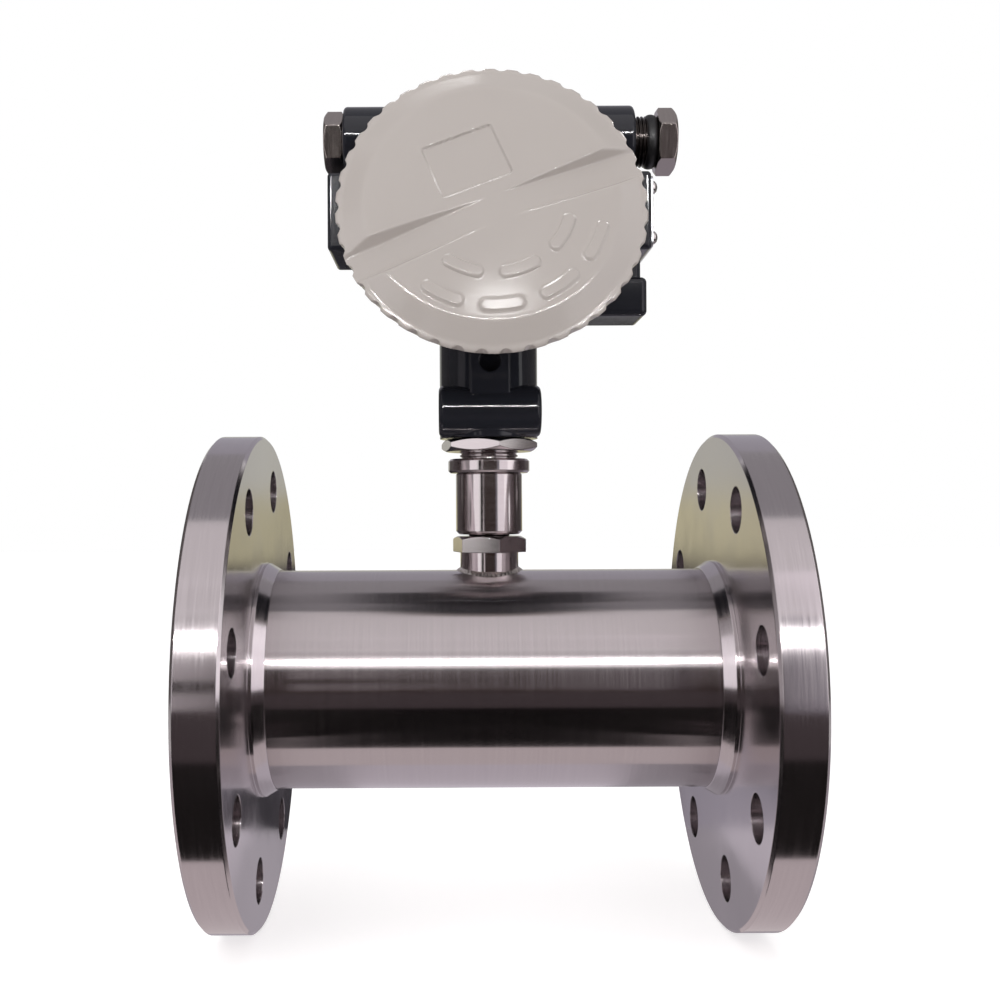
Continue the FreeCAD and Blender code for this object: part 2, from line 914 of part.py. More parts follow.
def housing_inside():
    """Hollow of the casting: cover thread, terminal chamber, wire ways and plug entries."""
    thread_bore = cone_on_head(
        bowl_front - overshoot,
        cover_thread_radius + thread_gap,
        skirt_end + cover_skirt_lead_in,
        cover_thread_radius + thread_gap,
    )
    seal_seat = cone_on_head(
        bowl_front - overshoot,
        seal_radius + seal_section / 2 + seat_gap,
        seal_depth + seal_section / 2 + seat_gap,
        seal_radius + seal_section / 2 + seat_gap,
    )
    chamber = cone_on_head(
        skirt_end + chamber_step,
        bowl_radius(skirt_end + chamber_step) - bowl_wall,
        cavity_floor,
        bowl_radius(cavity_floor) - bowl_wall,
    )
    side_room = rounded_box(
        V(
            middle - shoulder_half_width + shoulder_wall,
            -shoulder_front + shoulder_wall,
            shoulder_bottom + shoulder_wall,
        ),
        V(
            middle + shoulder_half_width - shoulder_wall,
            shoulder_back - shoulder_back_wall,
            shoulder_top - shoulder_wall,
        ),
        shoulder_round - shoulder_wall,
    )
    neck_thread = Part.makeCylinder(
        adapter_thread / 2 + thread_gap,
        adapter_top - neck_bottom + 2 * overshoot,
        V(middle, 0, neck_bottom - overshoot),
    )
    wire_way = Part.makeCylinder(
        neck_inside / 2, cover_centre_height - neck_bottom, V(middle, 0, neck_bottom)
    )
    cross_way = Part.makeCylinder(
        conduit_passage / 2,
        2 * conduit_half_length,
        V(middle - conduit_half_length, -conduit_forward, conduit_height),
        V(1, 0, 0),
    )
    hollow = thread_bore.fuse(seal_seat)
    for piece in (chamber, side_room, neck_thread, wire_way, cross_way):
        hollow = hollow.fuse(piece)
    for side in (-1, 1):
        outwards = V(side, 0, 0)
        mouth = V(middle + side * conduit_half_length, -conduit_forward, conduit_height)
        entry = turned(
            [
                (overshoot, 0),
                (overshoot, plug_seal_outside / 2 + 2 * seat_gap),
                (-plug_seal_section - 2 * seat_gap, plug_seal_outside / 2 + 2 * seat_gap),
                (-plug_seal_section - 2 * seat_gap, plug_thread / 2 + thread_gap),
                (-plug_reach - entry_runout, plug_thread / 2 + thread_gap),
                (-plug_reach - entry_runout, 0),
            ],
            mouth,
            outwards,
        )
        hollow = hollow.fuse(entry)
    return hollow


def earth_post():
    """Cast post beside the board, standing on the middle of the casting's back wall."""
    tilt = math.radians(cover_tilt)
    back_wall_middle = shoulder_back - shoulder_back_wall / 2
    foot_depth = (back_wall_middle + cover_centre_forward - earth_post_up * math.sin(tilt)) / math.cos(tilt)
    foot = V(earth_post_across, earth_post_up, -foot_depth)
    return on_head(Part.makeCylinder(earth_post_diameter / 2, foot_depth - earth_post_depth, foot))


def earth_post_hole():
    """Tapped hole in the end of the earth post."""
    bottom = V(earth_post_across, earth_post_up, -earth_post_depth - screw_length)
    return on_head(Part.makeCylinder(screw_thread / 2 + press_gap, screw_length, bottom))


def rivet_spots():
    """Places of the nameplate's rivets on the right-hand pad."""
    spots = []
    for y in (-pad_front + plate_margin + rivet_inset, pad_back - plate_margin - rivet_inset):
        for z in (
            pad_bottom + plate_margin + rivet_inset,
            pad_bottom + pad_height - plate_margin - rivet_inset,
        ):
            spots.append(V(middle + pad_half_width, y, z))
    return spots


def housing():
    """Cast head: outer form less its hollow, with tapped and rivet holes."""
    casting = housing_outside().cut(housing_inside()).fuse(earth_post()).cut(earth_post_hole())
    neck_front = -neck_diameter / 2 - neck_pad_height
    casting = casting.cut(Part.makeCylinder(
        neck_hole / 2,
        neck_hole_depth + overshoot,
        V(middle, neck_front - overshoot, neck_hole_height),
        V(0, 1, 0),
    ))
    casting = casting.cut(Part.makeCylinder(
        lug_hole / 2,
        lug_hole_depth + overshoot,
        V(middle + lug_reach + overshoot, (lug_back - lug_front) / 2, lug_bottom + lug_height / 2),
        V(-1, 0, 0),
    ))
    for spot in rivet_spots():
        casting = casting.cut(Part.makeCylinder(
            rivet_shank / 2 + press_gap,
            rivet_shank_length + overshoot,
            spot + V(overshoot, 0, 0),
            V(-1, 0, 0),
        ))
    for x, y in standoff_spots():
        bottom = V(x, y, -cavity_floor - standoff_stud)
        hole = Part.makeCylinder(screw_thread / 2 + press_gap, standoff_stud + overshoot, bottom)
        casting = casting.cut(on_head(hole))
    return casting


def arc_rib(radius, first, last):
    """Raised bar along an arc of the cover's face, with round ends."""
    half = rib_width / 2
    base = cover_bevel_rise - rib_sink
    rise = rib_height + rib_sink
    ring = Part.makeCylinder(radius + half, rise, V(0, 0, base), V(0, 0, 1), last - first)
    ring = ring.cut(Part.makeCylinder(radius - half, rise + 2 * overshoot, V(0, 0, base - overshoot)))
    ring.rotate(V(0, 0, 0), V(0, 0, 1), first)
    for angle in (first, last):
        turn = math.radians(angle)
        spot = V(radius * math.cos(turn), radius * math.sin(turn), base)
        ring = ring.fuse(Part.makeCylinder(half, rise, spot))
    return ring


def face_ribs():
    """Two rows of plain arc bars on the lower half of the cover."""
    ribs = []
    for radius, count in ((inner_rib_radius, inner_rib_count), (outer_rib_radius, outer_rib_count)):
        gap = rib_gap * inner_rib_radius / radius + math.degrees(rib_width / radius)
        span = (rib_end - rib_start - gap * (count - 1)) / count
        for k in range(count):
            first = rib_start + k * (span + gap)
            ribs.append(arc_rib(radius, first, first + span))
    return ribs


def wrench_groove_cutter():
    """Drafted trough whose floor slopes down from near the centre to the rim."""
    run = cover_face_radius - wrench_groove_start
    slope = math.atan2(wrench_groove_depth, run)
    half = wrench_groove_width / 2
    rise = 2 * wrench_groove_depth + trough_overshoot
    flare = rise * math.tan(math.radians(wrench_groove_draft))
    corners = [V(0, -half, 0), V(0, half, 0), V(0, half + flare, rise), V(0, -half - flare, rise)]
    outline = Part.makePolygon(corners + [corners[0]])
    trough = Part.Face(outline).extrude(V(run + 2 * trough_overshoot, 0, 0))
    trough.rotate(V(0, 0, 0), V(0, 1, 0), math.degrees(slope))
    trough.translate(V(wrench_groove_start, 0, cover_bevel_rise))
    return trough


def front_cover():
    """Screwed cover: threaded skirt, scalloped rim, bevelled face with groove, panel and ribs."""
    outline = [
        (-skirt_end, cover_thread_radius - cover_skirt_wall),
        (-skirt_end, cover_thread_radius - cover_skirt_lead_in),
    ]
    outline += thread_profile(
        -skirt_end + cover_thread_end,
        -cover_flange_depth - cover_relief,
        cover_thread_radius,
        cover_pitch,
    )
    outline += [
        (-cover_flange_depth, cover_thread_radius - cover_back_chamfer),
        (-cover_flange_depth, cover_back_radius - cover_back_chamfer),
        (-cover_flange_depth + cover_back_land, cover_back_radius),
        (-cover_crest_land, cover_crest_radius),
        (-2 * slip_gap, cover_crest_radius - cover_edge_round),
        (0, cover_face_radius),
        (cover_bevel_rise, cover_flat_radius),
        (cover_bevel_rise, 0),
        (cover_bevel_rise - cover_wall, 0),
        (cover_bevel_rise - cover_wall, cover_thread_radius - cover_skirt_wall),
    ]
    cover = turned(outline, V(0, 0, 0), V(0, 0, 1))
    cutters = []
    cutter_circle = cover_crest_radius - scallop_depth + scallop_cutter_radius
    for k in range(scallop_count):
        angle = 2 * math.pi * (k + 0.5) / scallop_count
        spot = V(cutter_circle * math.cos(angle), cutter_circle * math.sin(angle), -scallop_length)
        cutters.append(Part.makeCylinder(scallop_cutter_radius, scallop_length + 2 * overshoot, spot))
    trough = wrench_groove_cutter()
    for turn in (0, 180):
        arm = trough.copy()
        arm.rotate(V(0, 0, 0), V(0, 0, 1), wrench_groove_angle + turn)
        cutters.append(arm)
    panel = Part.makeBox(
        panel_width,
        panel_height,
        panel_depth + overshoot,
        V(-panel_width / 2, -panel_height / 2, cover_bevel_rise - panel_depth),
    )
    uprights = [e for e in panel.Edges if e.BoundBox.ZLength > panel_depth]
    panel = panel.makeFillet(panel_round, uprights)
    panel.rotate(V(0, 0, 0), V(0, 0, 1), wrench_groove_angle)
    panel.translate(V(panel_across, panel_up, 0))
    cutters.append(panel)
    cover = cover.cut(cutters)
    for rib in face_ribs():
        cover = cover.fuse(rib)
    return on_head(cover)


def ring_seal(centre_radius, section_radius, base, axis):
    """Round-section rubber ring about an axis."""
    ring = Part.makeTorus(centre_radius, section_radius)
    ring.Placement = FreeCAD.Placement(base, FreeCAD.Rotation(V(0, 0, 1), axis))
    return ring


def cover_seal():
    """Rubber ring between the cover's flange and the bowl's mouth."""
    ring = Part.makeTorus(seal_radius, seal_section / 2, V(0, 0, -seal_depth))
    return on_head(ring)


def plug(side, out):
    """Hexagon-headed screw plug; out is how far it is unscrewed from its seat."""
    head = hexagon(plug_flats, 0, plug_head_height, False, True, 90)
    thread_start = plug_neck_length
    outline = [(plug_head_height / 2, 0), (-plug_reach, 0)]
    outline += thread_profile(-plug_reach + 2 * slip_gap, -thread_start, plug_thread / 2, small_pitch)
    outline += [
        (-thread_start, plug_neck_diameter / 2),
        (0, plug_neck_diameter / 2),
        (plug_head_height / 2, plug_neck_diameter / 2),
    ]
    whole = head.fuse(turned(outline, V(0, 0, 0), V(0, 0, 1)))
    whole.rotate(V(0, 0, 0), V(0, 1, 0), 90 * side)
    reach = conduit_half_length + seat_gap + out
    whole.translate(V(middle + side * reach, -conduit_forward, conduit_height))
    return whole


def plug_seal(side, out):
    """Rubber ring on the plug's neck."""
    offset = conduit_half_length + seat_gap + out - plug_seal_section / 2 - seat_gap / 2
    centre = V(middle + side * offset, -conduit_forward, conduit_height)
    return ring_seal(plug_seal_radius, plug_seal_section / 2, centre, V(1, 0, 0))


def nameplate():
    """Thin bare plate riveted to the right-hand pad."""
    face = middle + pad_half_width
    plate = Part.makeBox(
        plate_thickness,
        pad_front + pad_back - 2 * plate_margin,
        pad_height - 2 * plate_margin,
        V(face, -pad_front + plate_margin, pad_bottom + plate_margin),
    )
    corners = [e for e in plate.Edges if e.BoundBox.XLength > plate_thickness / 2]
    plate = plate.makeFillet(plate_round, corners)
    for spot in rivet_spots():
        plate = plate.cut(Part.makeCylinder(
            rivet_shank / 2 + slip_gap,
            plate_thickness + 2 * overshoot,
            spot - V(overshoot, 0, 0),
            V(1, 0, 0),
        ))
    return plate


def nameplate_rivets():
    """Round-head rivets through the nameplate into the pad."""
    rivets = []
    for spot in rivet_spots():
        rivets.append(turned(
            [
                (-rivet_shank_length, 0),
                (-rivet_shank_length, rivet_shank / 2),
                (plate_thickness, rivet_shank / 2),
                (plate_thickness, rivet_diameter / 2),
                (plate_thickness + 0.5 * rivet_rise, 0.92 * rivet_diameter / 2),
                (plate_thickness + 0.85 * rivet_rise, 0.6 * rivet_diameter / 2),
                (plate_thickness + rivet_rise, 0.25 * rivet_diameter / 2),
                (plate_thickness + rivet_rise, 0),
            ],
            spot,
            V(1, 0, 0),
        ))
    return Part.makeCompound(rivets)


def standoff_spots():
    """Places of the board's posts about the cover's axis."""
    spots = []
    for k in range(standoff_count):
        angle = math.radians(90 + 360 * k / standoff_count)
        spots.append((standoff_circle * math.cos(angle), standoff_circle * math.sin(angle)))
    return spots


def circuit_board():
    """Round circuit board across the chamber, drilled for its screws."""
    board = Part.makeCylinder(board_radius, board_thickness, V(0, 0, -board_depth - board_thickness))
    under = -board_depth - board_thickness - overshoot
    for x, y in standoff_spots():
        hole_radius = screw_thread / 2 + slip_gap
        board = board.cut(
            Part.makeCylinder(hole_radius, board_thickness + 2 * overshoot, V(x, y, under))
        )
    notch = Part.makeCylinder(
        earth_post_diameter / 2 + earth_post_notch,
        board_thickness + 2 * overshoot,
        V(earth_post_across, earth_post_up, under),
    )
    return on_head(board.cut(notch))


def board_standoffs():
    """Hexagon posts that screw into the chamber's floor and hold the board."""
    posts = []
    top = -board_depth - board_thickness
    for x, y in standoff_spots():
        post = hexagon(standoff_flats, -cavity_floor, top, False, False, 0)
        post = post.cut(
            Part.makeCylinder(screw_thread / 2 + press_gap, screw_length, V(0, 0, top - screw_length))
        )
        post = post.fuse(
            Part.makeCylinder(screw_thread / 2, standoff_stud, V(0, 0, -cavity_floor - standoff_stud))
        )
        post.translate(V(x, y, 0))
        posts.append(on_head(post))
    return Part.makeCompound(posts)


def pan_screw(length):
    """Slotted round-head screw on the Z axis, head above zero."""
    radius = screw_head / 2
    screw = turned(
        [
            (-length, 0),
            (-length, screw_thread / 2),
            (0, screw_thread / 2),
            (0, radius),
            (screw_head_height * 0.6, radius * 0.95),
            (screw_head_height, radius * 0.6),
            (screw_head_height, 0),
        ],
        V(0, 0, 0),
        V(0, 0, 1),
    )
    slot = Part.makeBox(
        2 * radius + 2 * overshoot,
        screw_slot,
        screw_slot_depth + overshoot,
        V(-radius - overshoot, -screw_slot / 2, screw_head_height - screw_slot_depth),
    )
    return screw.cut(slot)


def board_screws():
    """Screws that hold the board on its posts."""
    screws = []
    for x, y in standoff_spots():
        screw = pan_screw(screw_length - screw_end_gap)
        screw.translate(V(x, y, -board_depth))
        screws.append(on_head(screw))
    return Part.makeCompound(screws)


def earth_screw():
    """Inside earth screw on its post beside the board."""
    screw = pan_screw(screw_length - screw_end_gap)
    screw.translate(V(earth_post_across, earth_post_up, -earth_post_depth))
    return on_head(screw)


def terminal_spots():
    """Across-board places of the terminals' middles."""
    return [(k - (terminal_count - 1) / 2) * terminal_pitch for k in range(terminal_count)]


def terminal_block():
    """Row of screw terminals on the board, open at the front for wires."""
    length = terminal_count * terminal_pitch
    block = Part.makeBox(
        length,
        terminal_width,
        terminal_height,
        V(-length / 2, terminal_up - terminal_width / 2, -board_depth),
    )
    for x in terminal_spots():
        well = Part.makeCylinder(
            terminal_screw / 2 + slip_gap,
            terminal_well_depth + overshoot,
            V(x, terminal_up + terminal_screw_up, -board_depth + terminal_height - terminal_well_depth),
        )
        wire = Part.makeCylinder(
            wire_hole / 2,
            wire_hole_length + overshoot,
            V(x, terminal_up - terminal_width / 2 - overshoot, -board_depth + wire_hole_rise),
            V(0, 1, 0),
        )
        block = block.cut(well).cut(wire)
    return on_head(block)


def terminal_screws():
    """Slotted clamping screws of the terminal block."""
    screws = []
    for x in terminal_spots():
        body = Part.makeCylinder(terminal_screw / 2, terminal_screw_length)
        body = body.cut(Part.makeBox(
            terminal_screw + 2 * overshoot,
            screw_slot,
            screw_slot_depth + overshoot,
            V(-terminal_screw / 2 - overshoot, -screw_slot / 2, terminal_screw_length - screw_slot_depth),
        ))
        body.translate(
            V(x, terminal_up + terminal_screw_up, -board_depth + terminal_height - terminal_well_depth)
        )
        screws.append(on_head(body))
    return Part.makeCompound(screws)


def board_components():
    """Capacitor, chip and trimmer soldered on the board's front."""
    parts = [
        Part.makeCylinder(
            capacitor_diameter / 2, capacitor_height, V(capacitor_across, capacitor_up, -board_depth)
        ),
        Part.makeBox(chip_size, chip_size, chip_height, V(chip_across, chip_up, -board_depth)),
        Part.makeBox(
            trimmer_size, trimmer_size, trimmer_height, V(trimmer_across, trimmer_up, -board_depth)
        ),
    ]
    return Part.makeCompound([on_head(piece) for piece in parts])


def lead_socket():
    """Connector on the back of the board where the signal lead ends."""
    top = -board_depth - board_thickness
    corner = V(-socket_size / 2, lead_end_up - socket_size / 2, top - socket_height)
    return on_head(Part.makeBox(socket_size, socket_size, socket_height, corner))


def signal_lead():
    """Round lead from the preamplifier up the neck, bent once towards the board's socket."""
    socket_back = board_depth + board_thickness + socket_height
    out = V(0, -math.cos(math.radians(cover_tilt)), math.sin(math.radians(cover_tilt)))
    target = head_frame.multVec(V(0, lead_end_up, -socket_back))
    steps = target.y / out.y
    corner = V(middle, 0, target.z - steps * out.z)
    turn = math.radians(90 - cover_tilt)
    tangent = lead_bend * math.tan(turn / 2)
    start = V(middle, 0, preamp_ledge + board_thickness + seat_gap)
    bend_start = corner - V(0, 0, tangent)
    bend_end = corner + out * tangent
    centre = bend_start + V(0, -lead_bend, 0)
    halfway = V(0, math.cos(turn / 2), math.sin(turn / 2)) * lead_bend + centre
    path = Part.Wire([
        Part.LineSegment(start, bend_start).toShape(),
        Part.Arc(bend_start, halfway, bend_end).toShape(),
        Part.LineSegment(bend_end, target).toShape(),
    ])
    section = Part.Wire([Part.makeCircle(lead_diameter / 2, start, V(0, 0, 1))])
    return path.makePipeShell([section], True, False)


def save(name, shape):
    """Writes one sub-part and prints its volume as a check."""
    shape.exportStep(os.path.join("parts", name + ".step"))
    print(name, "solids", len(shape.Solids), "volume", round(shape.Volume, 1), "valid", shape.isValid())


def main():
    """Builds every sub-part and writes it to the parts folder."""
    os.makedirs("parts", exist_ok=True)
    save("body_tube", body_tube())
    for near, far, build in (
        ("inlet_flange", "outlet_flange", inlet_flange),
        ("upstream_support", "downstream_support", upstream_support),
        ("upstream_bush", "downstream_bush", upstream_bush),
        ("upstream_thrust_pad", "downstream_thrust_pad", upstream_thrust_pad),
        ("inlet_retaining_ring", "outlet_retaining_ring", inlet_retaining_ring),
    ):
        piece = build()
        save(near, piece)
        save(far, downstream(piece))
    for build in (
        rotor_hub, rotor_blades, rotor_shaft, sensor_boss, boss_weld, jam_nut, sensor_sleeve, pickup_bobbin,
        pickup_coil, pole_piece, pickup_magnet, preamp_board, sleeve_adapter, lock_nut,
        lock_nut_seal, housing, front_cover, cover_seal, nameplate, nameplate_rivets,
        circuit_board, board_standoffs, board_screws, earth_screw, terminal_block,
        terminal_screws, board_components, lead_socket, signal_lead,
    ):
        save(build.__name__, build())
    for name, side, out in (("left_plug", -1, 0.0), ("right_plug", 1, right_plug_out)):
        save(name, plug(side, out))
        save(name + "_seal", plug_seal(side, out))


main()
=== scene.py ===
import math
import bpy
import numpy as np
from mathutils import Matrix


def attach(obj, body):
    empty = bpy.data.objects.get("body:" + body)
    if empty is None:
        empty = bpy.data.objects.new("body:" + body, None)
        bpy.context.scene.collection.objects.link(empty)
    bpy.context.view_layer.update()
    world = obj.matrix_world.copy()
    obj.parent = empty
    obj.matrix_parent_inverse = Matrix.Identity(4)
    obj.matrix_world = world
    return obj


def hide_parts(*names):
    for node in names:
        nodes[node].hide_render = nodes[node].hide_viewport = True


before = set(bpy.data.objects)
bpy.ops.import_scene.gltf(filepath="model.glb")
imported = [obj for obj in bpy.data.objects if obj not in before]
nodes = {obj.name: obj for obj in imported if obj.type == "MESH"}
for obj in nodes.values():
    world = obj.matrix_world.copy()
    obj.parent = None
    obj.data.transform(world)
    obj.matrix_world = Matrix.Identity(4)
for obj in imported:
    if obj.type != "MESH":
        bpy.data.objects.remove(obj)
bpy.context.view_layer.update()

# %% [markdown]
# A turbine flow meter: a flanged stainless tube, a pickup sleeve welded on top of it and a cast terminal
# head with a round screwed cover. The solids come from the CAD frame, in metres, with the origin at the
# centre of the left sealing face. This script gives each of them the finish of the real metal, paint or
# rubber, and makes again, as finer surfaces, the pieces whose soft cast or welded forms the solids
# only sketch. Sizes are written in millimetres, as on a drawing, and MM turns them into metres at the end.

MM = 0.001
meter_middle, tube_radius = 112.5, 44.5

# %% [markdown]
# ## Helpers for materials
# Blender works in linear light, while a colour read off a photograph is sRGB, so one function turns a hex
# value into linear. A second one adds a node to a material: a value is set on the node's socket, and the
# output of another node is linked to it. The same nodes could be placed by hand in the editor, but in code
# they can be read, compared and used again. Patterns are sized in millimetres: the noise texture repeats
# about once per unit of its coordinates, so a grain of so many millimetres needs a scale of one over it.

# %% Colour and node helpers
def hex_colour(text):
    """sRGB hex to linear: values up to 0.04045 are divided by 12.92, larger ones follow a power of 2.4."""
    parts = np.array([int(text[k:k + 2], 16) for k in (1, 3, 5)]) / 255
    linear = np.where(parts <= 0.04045, parts / 12.92, ((parts + 0.055) / 1.055) ** 2.4)
    return (*linear.tolist(), 1.0)


def add_node(material, kind, inputs=(), **settings):
    """Adds a node, sets its settings, and links or fills the inputs that are given by name or number."""
    tree = material.node_tree
    node = tree.nodes.new(kind)
    for name, value in settings.items():
        setattr(node, name, value)
    for name, value in dict(inputs).items():
        if isinstance(value, bpy.types.NodeSocket):
            tree.links.new(value, node.inputs[name])
        else:
            node.inputs[name].default_value = value
    return node


def new_material(name):
    """An empty node material with its output, and the object's own coordinates."""
    material = bpy.data.materials.new(name)
    material.use_nodes = True
    material.node_tree.nodes.clear()
    place = add_node(material, "ShaderNodeTexCoord").outputs["Object"]
    output = add_node(material, "ShaderNodeOutputMaterial")
    return material, place, output


def finish_material(material, shader_socket, output):
    """Joins the finished shader to the material's output."""
    material.node_tree.links.new(shader_socket, output.inputs["Surface"])


def per_mm(size):
    """Scale of a pattern on Object coordinates, in metres, whose grain is size millimetres."""
    return 1000.0 / size


print("a grain of 2 mm has the scale", per_mm(2.0))

# %% [markdown]
# ## Machined and polished metal
# A lathe and a polishing belt leave fine rings around the turned axis. They are far thinner than a pixel,
# and together they smear every reflection across the rings, that is along the axis on a tube and outwards
# on a flat face, while it stays sharp along them. A picture of brushed steel could be laid over the metal,
# but it would not move with the light. The shader's anisotropy does, when it knows the direction of the
# smear. Rings circle the axis along C, and the smear lies at right angles to both C and the surface's
# normal N, so it is N x C. Some single rings are coarse enough to see: noise that is fine along the axis
# and long around it gives them a small bump and a change of gloss. They are drawn about 0.5 mm wide,
# coarser than real ones, because finer ones don't show. A Bevel node rounds the sharp edges of the solids
# in the shading, so that each deburred edge catches a thin line of light.

# %% Direction of the smear, and sanding marks
scratch_low, scratch_high, scratch_depth, scratch_length = 0.66, 0.74, 0.004, 14


def across_rings(material, place, axis):
    """N x C, where C = axis x place runs around the turned axis. An upright axis stands at meter_middle."""
    moved = (0.0, 0.0, 0.0) if axis == "X" else (-meter_middle * MM, 0.0, 0.0)
    along = (1.0, 0.0, 0.0) if axis == "X" else (0.0, 0.0, 1.0)
    centred = add_node(material, "ShaderNodeMapping", {"Vector": place, "Location": moved})
    circle = add_node(material, "ShaderNodeVectorMath", {
        0: along, 1: centred.outputs["Vector"]}, operation="CROSS_PRODUCT")
    facing = add_node(material, "ShaderNodeNewGeometry")
    smear = add_node(material, "ShaderNodeVectorMath", {
        0: facing.outputs["Normal"], 1: circle.outputs["Vector"]}, operation="CROSS_PRODUCT")
    return smear.outputs["Vector"]


def sanded(material, place, width, normal):
    """Normal cut by single sanding marks: the rare peaks, between scratch_low and scratch_high, of a noise
    that is width millimetres wide along x and scratch_length times as long around it."""
    grain = (per_mm(width), per_mm(width * scratch_length), per_mm(width * scratch_length))
    drawn_out = add_node(material, "ShaderNodeMapping", {"Vector": place, "Scale": grain})
    marks = add_node(material, "ShaderNodeTexNoise", {
        "Vector": drawn_out.outputs["Vector"], "Scale": 1.0, "Detail": 1.0})
    peaks = add_node(material, "ShaderNodeMapRange", {
        "Value": marks.outputs["Fac"], "From Min": scratch_low, "From Max": scratch_high})
    return add_node(material, "ShaderNodeBump", {
        "Height": peaks.outputs["Result"], "Strength": 1.0, "Distance": scratch_depth * MM,
        "Normal": normal}).outputs["Normal"]


print("sanding marks:", scratch_depth * 1000, "microns deep,", scratch_length, "times as long as wide")

# %% Turned and polished metal
noise_low, noise_high = 0.3, 0.7
patch_size = 11.0


def turned_metal(name, tint, low_tint, roughness, spread, rings, depth, edge, axis="X", smear=0.0,
                 scratches=0.0):
    """Metal turned about axis. rings is the size of a visible ring across and around in mm, depth its height
    and edge the radius of rounded edges. The roughness varies by spread from ring to ring, and rises by up
    to spread in patches. scratches is the width of sanding marks, or 0."""
    material, place, output = new_material(name)
    across, around = rings
    grain = (across, around, around) if axis == "X" else (around, around, across)
    drawn_out = add_node(material, "ShaderNodeMapping", {
        "Vector": place, "Scale": tuple(per_mm(size) for size in grain)})
    lines = add_node(material, "ShaderNodeTexNoise", {
        "Vector": drawn_out.outputs["Vector"], "Scale": 1.0, "Detail": 3.0, "Roughness": 0.6})
    patches = add_node(material, "ShaderNodeTexNoise", {
        "Vector": place, "Scale": per_mm(patch_size), "Detail": 2.0})
    shade = add_node(material, "ShaderNodeMix", {
        "Factor": lines.outputs["Fac"], "A": hex_colour(low_tint), "B": hex_colour(tint)}, data_type="RGBA")
    gloss = add_node(material, "ShaderNodeMapRange", {
        "Value": lines.outputs["Fac"], "From Min": noise_low, "From Max": noise_high,
        "To Min": roughness - spread, "To Max": roughness + spread})
    worn = add_node(material, "ShaderNodeMath", {
        0: patches.outputs["Fac"], 1: spread, 2: gloss.outputs["Result"]}, operation="MULTIPLY_ADD")
    rounded = add_node(material, "ShaderNodeBevel", {"Radius": edge * MM}, samples=6)
    bump = add_node(material, "ShaderNodeBump", {
        "Height": lines.outputs["Fac"], "Strength": 1.0, "Distance": depth * MM,
        "Normal": rounded.outputs["Normal"]})
    normal = bump.outputs["Normal"]
    if scratches:
        normal = sanded(material, place, scratches, normal)
    shader = add_node(material, "ShaderNodeBsdfPrincipled", {
        "Base Color": shade.outputs["Result"], "Metallic": 1.0, "Roughness": worn.outputs["Value"],
        "Anisotropic": smear, "Tangent": across_rings(material, place, axis), "Normal": normal})
    finish_material(material, shader.outputs["BSDF"], output)
    return material


# The tube, belt-polished: the room shows as clear bands that are drawn out along the axis.
polished_tube = turned_metal("polished_stainless_tube", "#cdc6c7", "#c2bbbc", 0.19, 0.02, (0.6, 60.0),
                             0.0004, 0.4, smear=1.0, scratches=0.35)
# The flanges, faced on a lathe: the same bands, broken up by rings that are coarse enough to see.
turned_flange = turned_metal("turned_stainless_flange", "#cfc8ca", "#c2bbbd", 0.16, 0.04, (0.7, 25.0),
                             0.0012, 0.5, smear=0.8)
# Boss, sleeve and nuts, finely turned: nearly a mirror, with hard upright stripes of light and dark.
turned_upright = turned_metal("turned_stainless_sleeve", "#cdc6c6", "#c0b9b9", 0.11, 0.02, (0.4, 30.0),
                              0.0006, 0.35, axis="Z", smear=0.6)
# The plugs' heads, nickel plated: warmer than stainless, and the same grey all over a flat.
nickel_plate = turned_metal("nickel_plated_steel", "#c6bdb8", "#bab1ac", 0.17, 0.03, (0.8, 12.0), 0.0004,
                            0.45)
# The plugs' threads: a colour painted nearly black as painted shade for the dark parts they mirror, with a
# thin bright line on each crest.
thread_painted_shade = turned_metal("thread_painted_shade", "#4b4644", "#332f2e", 0.22, 0.06, (0.5, 20.0), 0.0010, 0.15)
# Rivets, bright steel: small beads with one point of light each.
bright_rivet = turned_metal("bright_steel_rivet", "#d4d0ce", "#c6c2c0", 0.14, 0.03, (0.5, 3.0), 0.0005, 0.2)
# Shaft, bushes and spring rings, hardened and ground: darker and duller than the stainless steel.
machined_dark = turned_metal("machined_hard_metal", "#8a8683", "#716d6b", 0.30, 0.08, (0.5, 20.0), 0.0015,
                             0.2)
# The rotor and its blades, milled: a soft grey, so that they stand out in the dark bore.
milled_rotor = turned_metal("machined_rotor_steel", "#c2bdb7", "#aaa59f", 0.28, 0.08, (0.8, 8.0), 0.003, 0.3)
# The weld: a colour painted a little brighter than the tube as a painted highlight, and sparkling on its
# scales.
weld_metal_painted_bright = turned_metal("painted_bright_weld", "#dcd6d2", "#c8c0ba", 0.19, 0.05, (1.0, 1.3), 0.02, 0.2)
print("materials so far:", len(bpy.data.materials))

# %% [markdown]
# ## Paint on cast aluminium
# The head is cast aluminium under thick glossy enamel: nearly black blue on the casting, warm light grey
# on the cover. A perfectly even gloss would look like glass. Brushed or sprayed enamel never lies quite
# flat: a soft ripple of one to two millimetres bends its reflections a little, and slower waves come from
# the casting under it, so two layers of noise bend the normal, one after the other.

# %% Enamel
wave_size, enamel_spread = 22.0, 0.02


